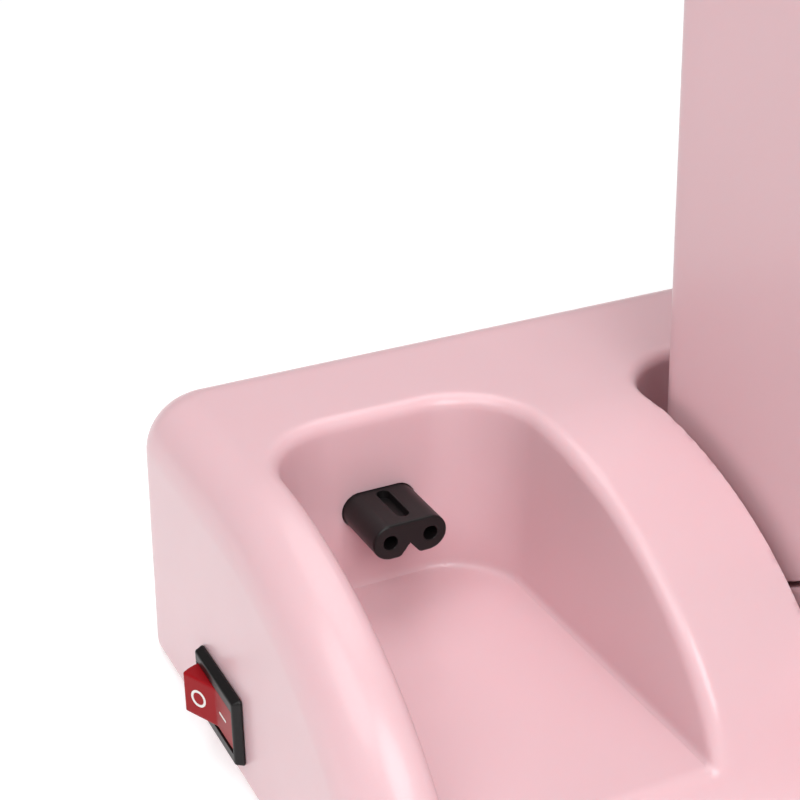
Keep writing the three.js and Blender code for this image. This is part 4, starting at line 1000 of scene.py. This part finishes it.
def make_camera():
    yaw, pitch, roll = (math.radians(a) for a in (CAMERA_YAW, CAMERA_PITCH, CAMERA_ROLL))
    level = math.cos(pitch)
    ahead = Vector((math.sin(yaw) * level, math.cos(yaw) * level, -math.sin(pitch)))
    right = Vector((math.cos(yaw), -math.sin(yaw), 0))
    up = right.cross(ahead)
    tilted_right = right * math.cos(roll) + up * math.sin(roll)
    tilted_up = up * math.cos(roll) - right * math.sin(roll)
    data = bpy.data.cameras.new("camera")
    data.lens = CAMERA_LENS
    data.sensor_width = SENSOR_WIDTH
    data.clip_start = 0.01
    camera = bpy.data.objects.new("camera", data)
    bpy.context.scene.collection.objects.link(camera)
    rotation = Matrix((tilted_right, tilted_up, -ahead)).transposed().to_4x4()
    place = Matrix.Translation(Vector(OUTLET) + Vector(CAMERA_FROM_OUTLET) * MM)
    camera.matrix_world = place @ rotation
    bpy.context.scene.camera = camera


def make_floor():
    bm = bmesh.new()
    bmesh.ops.create_grid(bm, x_segments=8, y_segments=8, size=FLOOR_REACH)
    mesh = bpy.data.meshes.new("floor")
    bm.to_mesh(mesh)
    bm.free()
    floor = bpy.data.objects.new("floor", mesh)
    bpy.context.scene.collection.objects.link(floor)
    nodes = Nodes("floor_paper")
    tone = nodes.ramp(nodes.noise(3.0, 2.0), (0.70, 0.70, 0.70), (0.72, 0.72, 0.72))
    nodes.link(tone, 0, nodes.shader, "Base Color")
    nodes.shader.inputs["Roughness"].default_value = 0.95
    nodes.shader.inputs["Specular IOR Level"].default_value = 0.0
    nodes.shader.inputs["Emission Color"].default_value = (1, 1, 1, 1)
    nodes.shader.inputs["Emission Strength"].default_value = FLOOR_GLOW
    floor.data.materials.append(nodes.material)


def area_light(name, place, target, size, power):
    data = bpy.data.lights.new(name, "AREA")
    data.shape = "DISK"
    data.size = size
    data.energy = power
    light = bpy.data.objects.new(name, data)
    bpy.context.scene.collection.objects.link(light)
    light.location = place
    direction = Vector(target) - Vector(place)
    light.rotation_mode = "QUATERNION"
    light.rotation_quaternion = direction.to_track_quat("-Z", "Y")


def make_light():
    world = bpy.data.worlds.new("studio")
    bpy.context.scene.world = world
    world.use_nodes = True
    background = world.node_tree.nodes["Background"]
    background.inputs["Color"].default_value = (1.0, 1.0, 1.0, 1)
    background.inputs["Strength"].default_value = SKY_STRENGTH
    area_light("key", (-0.25, -1.0, 1.0), (0, 0.02, 0.05), 0.9, 12.8)
    area_light("left", (-0.75, -0.2, 1.0), (0, 0, 0.08), 0.8, 4.8)
    area_light("top", (0.1, 0.4, 1.5), (0, 0, 0.05), 1.4, 11.0)
    bpy.context.scene.view_settings.view_transform = "Standard"


# ---- assembly --------------------------------------------------------------------------------

SHARP_DEG = 35.0

# Widths of the small bevels on the CAD nodes that stay, in millimetres.
SOFT_EDGED = {
    "lower_handle": 0.6, "lid_handle": 0.6, "latch_clip": 0.4, "mains_inlet": 0.3,
    "station_bottom_cover": 0.3, "lower_bottom_cover": 0.3, "wire_duct": 0.3, "terminal_block": 0.3,
    "rest_pad_left": 0.5, "rest_pad_right": 0.5, "latch_pin": 0.2, "hinge_pin_left": 0.2,
    "hinge_pin_right": 0.2, "front_foot_1": 0.5, "front_foot_2": 0.5, "station_foot_1": 0.4,
    "station_foot_2": 0.4, "station_foot_3": 0.4, "station_foot_4": 0.4,
}


def finish_cad_nodes():
    """Every CAD node that stays takes the finish of its own slot."""
    slots = {row["node"]: row["material_slot"] for row in frame["record"]["subparts"]}
    for name, node in frame["nodes"].items():
        if node.hide_render:
            continue
        node.data.materials.clear()
        node.data.materials.append(FINISHES[slots[name]])
        shade(node, SHARP_DEG)
        if name in SOFT_EDGED:
            bevel = node.modifiers.new("edge", "BEVEL")
            bevel.width = SOFT_EDGED[name] * MM
            bevel.segments = 2
            bevel.limit_method = "ANGLE"
            bevel.angle_limit = math.radians(SHARP_DEG)


make_camera()
make_floor()
make_light()
make_station()
make_outlet()
make_switch()
make_halves()
make_plates()
make_lamps()
make_screws()
finish_cad_nodes()
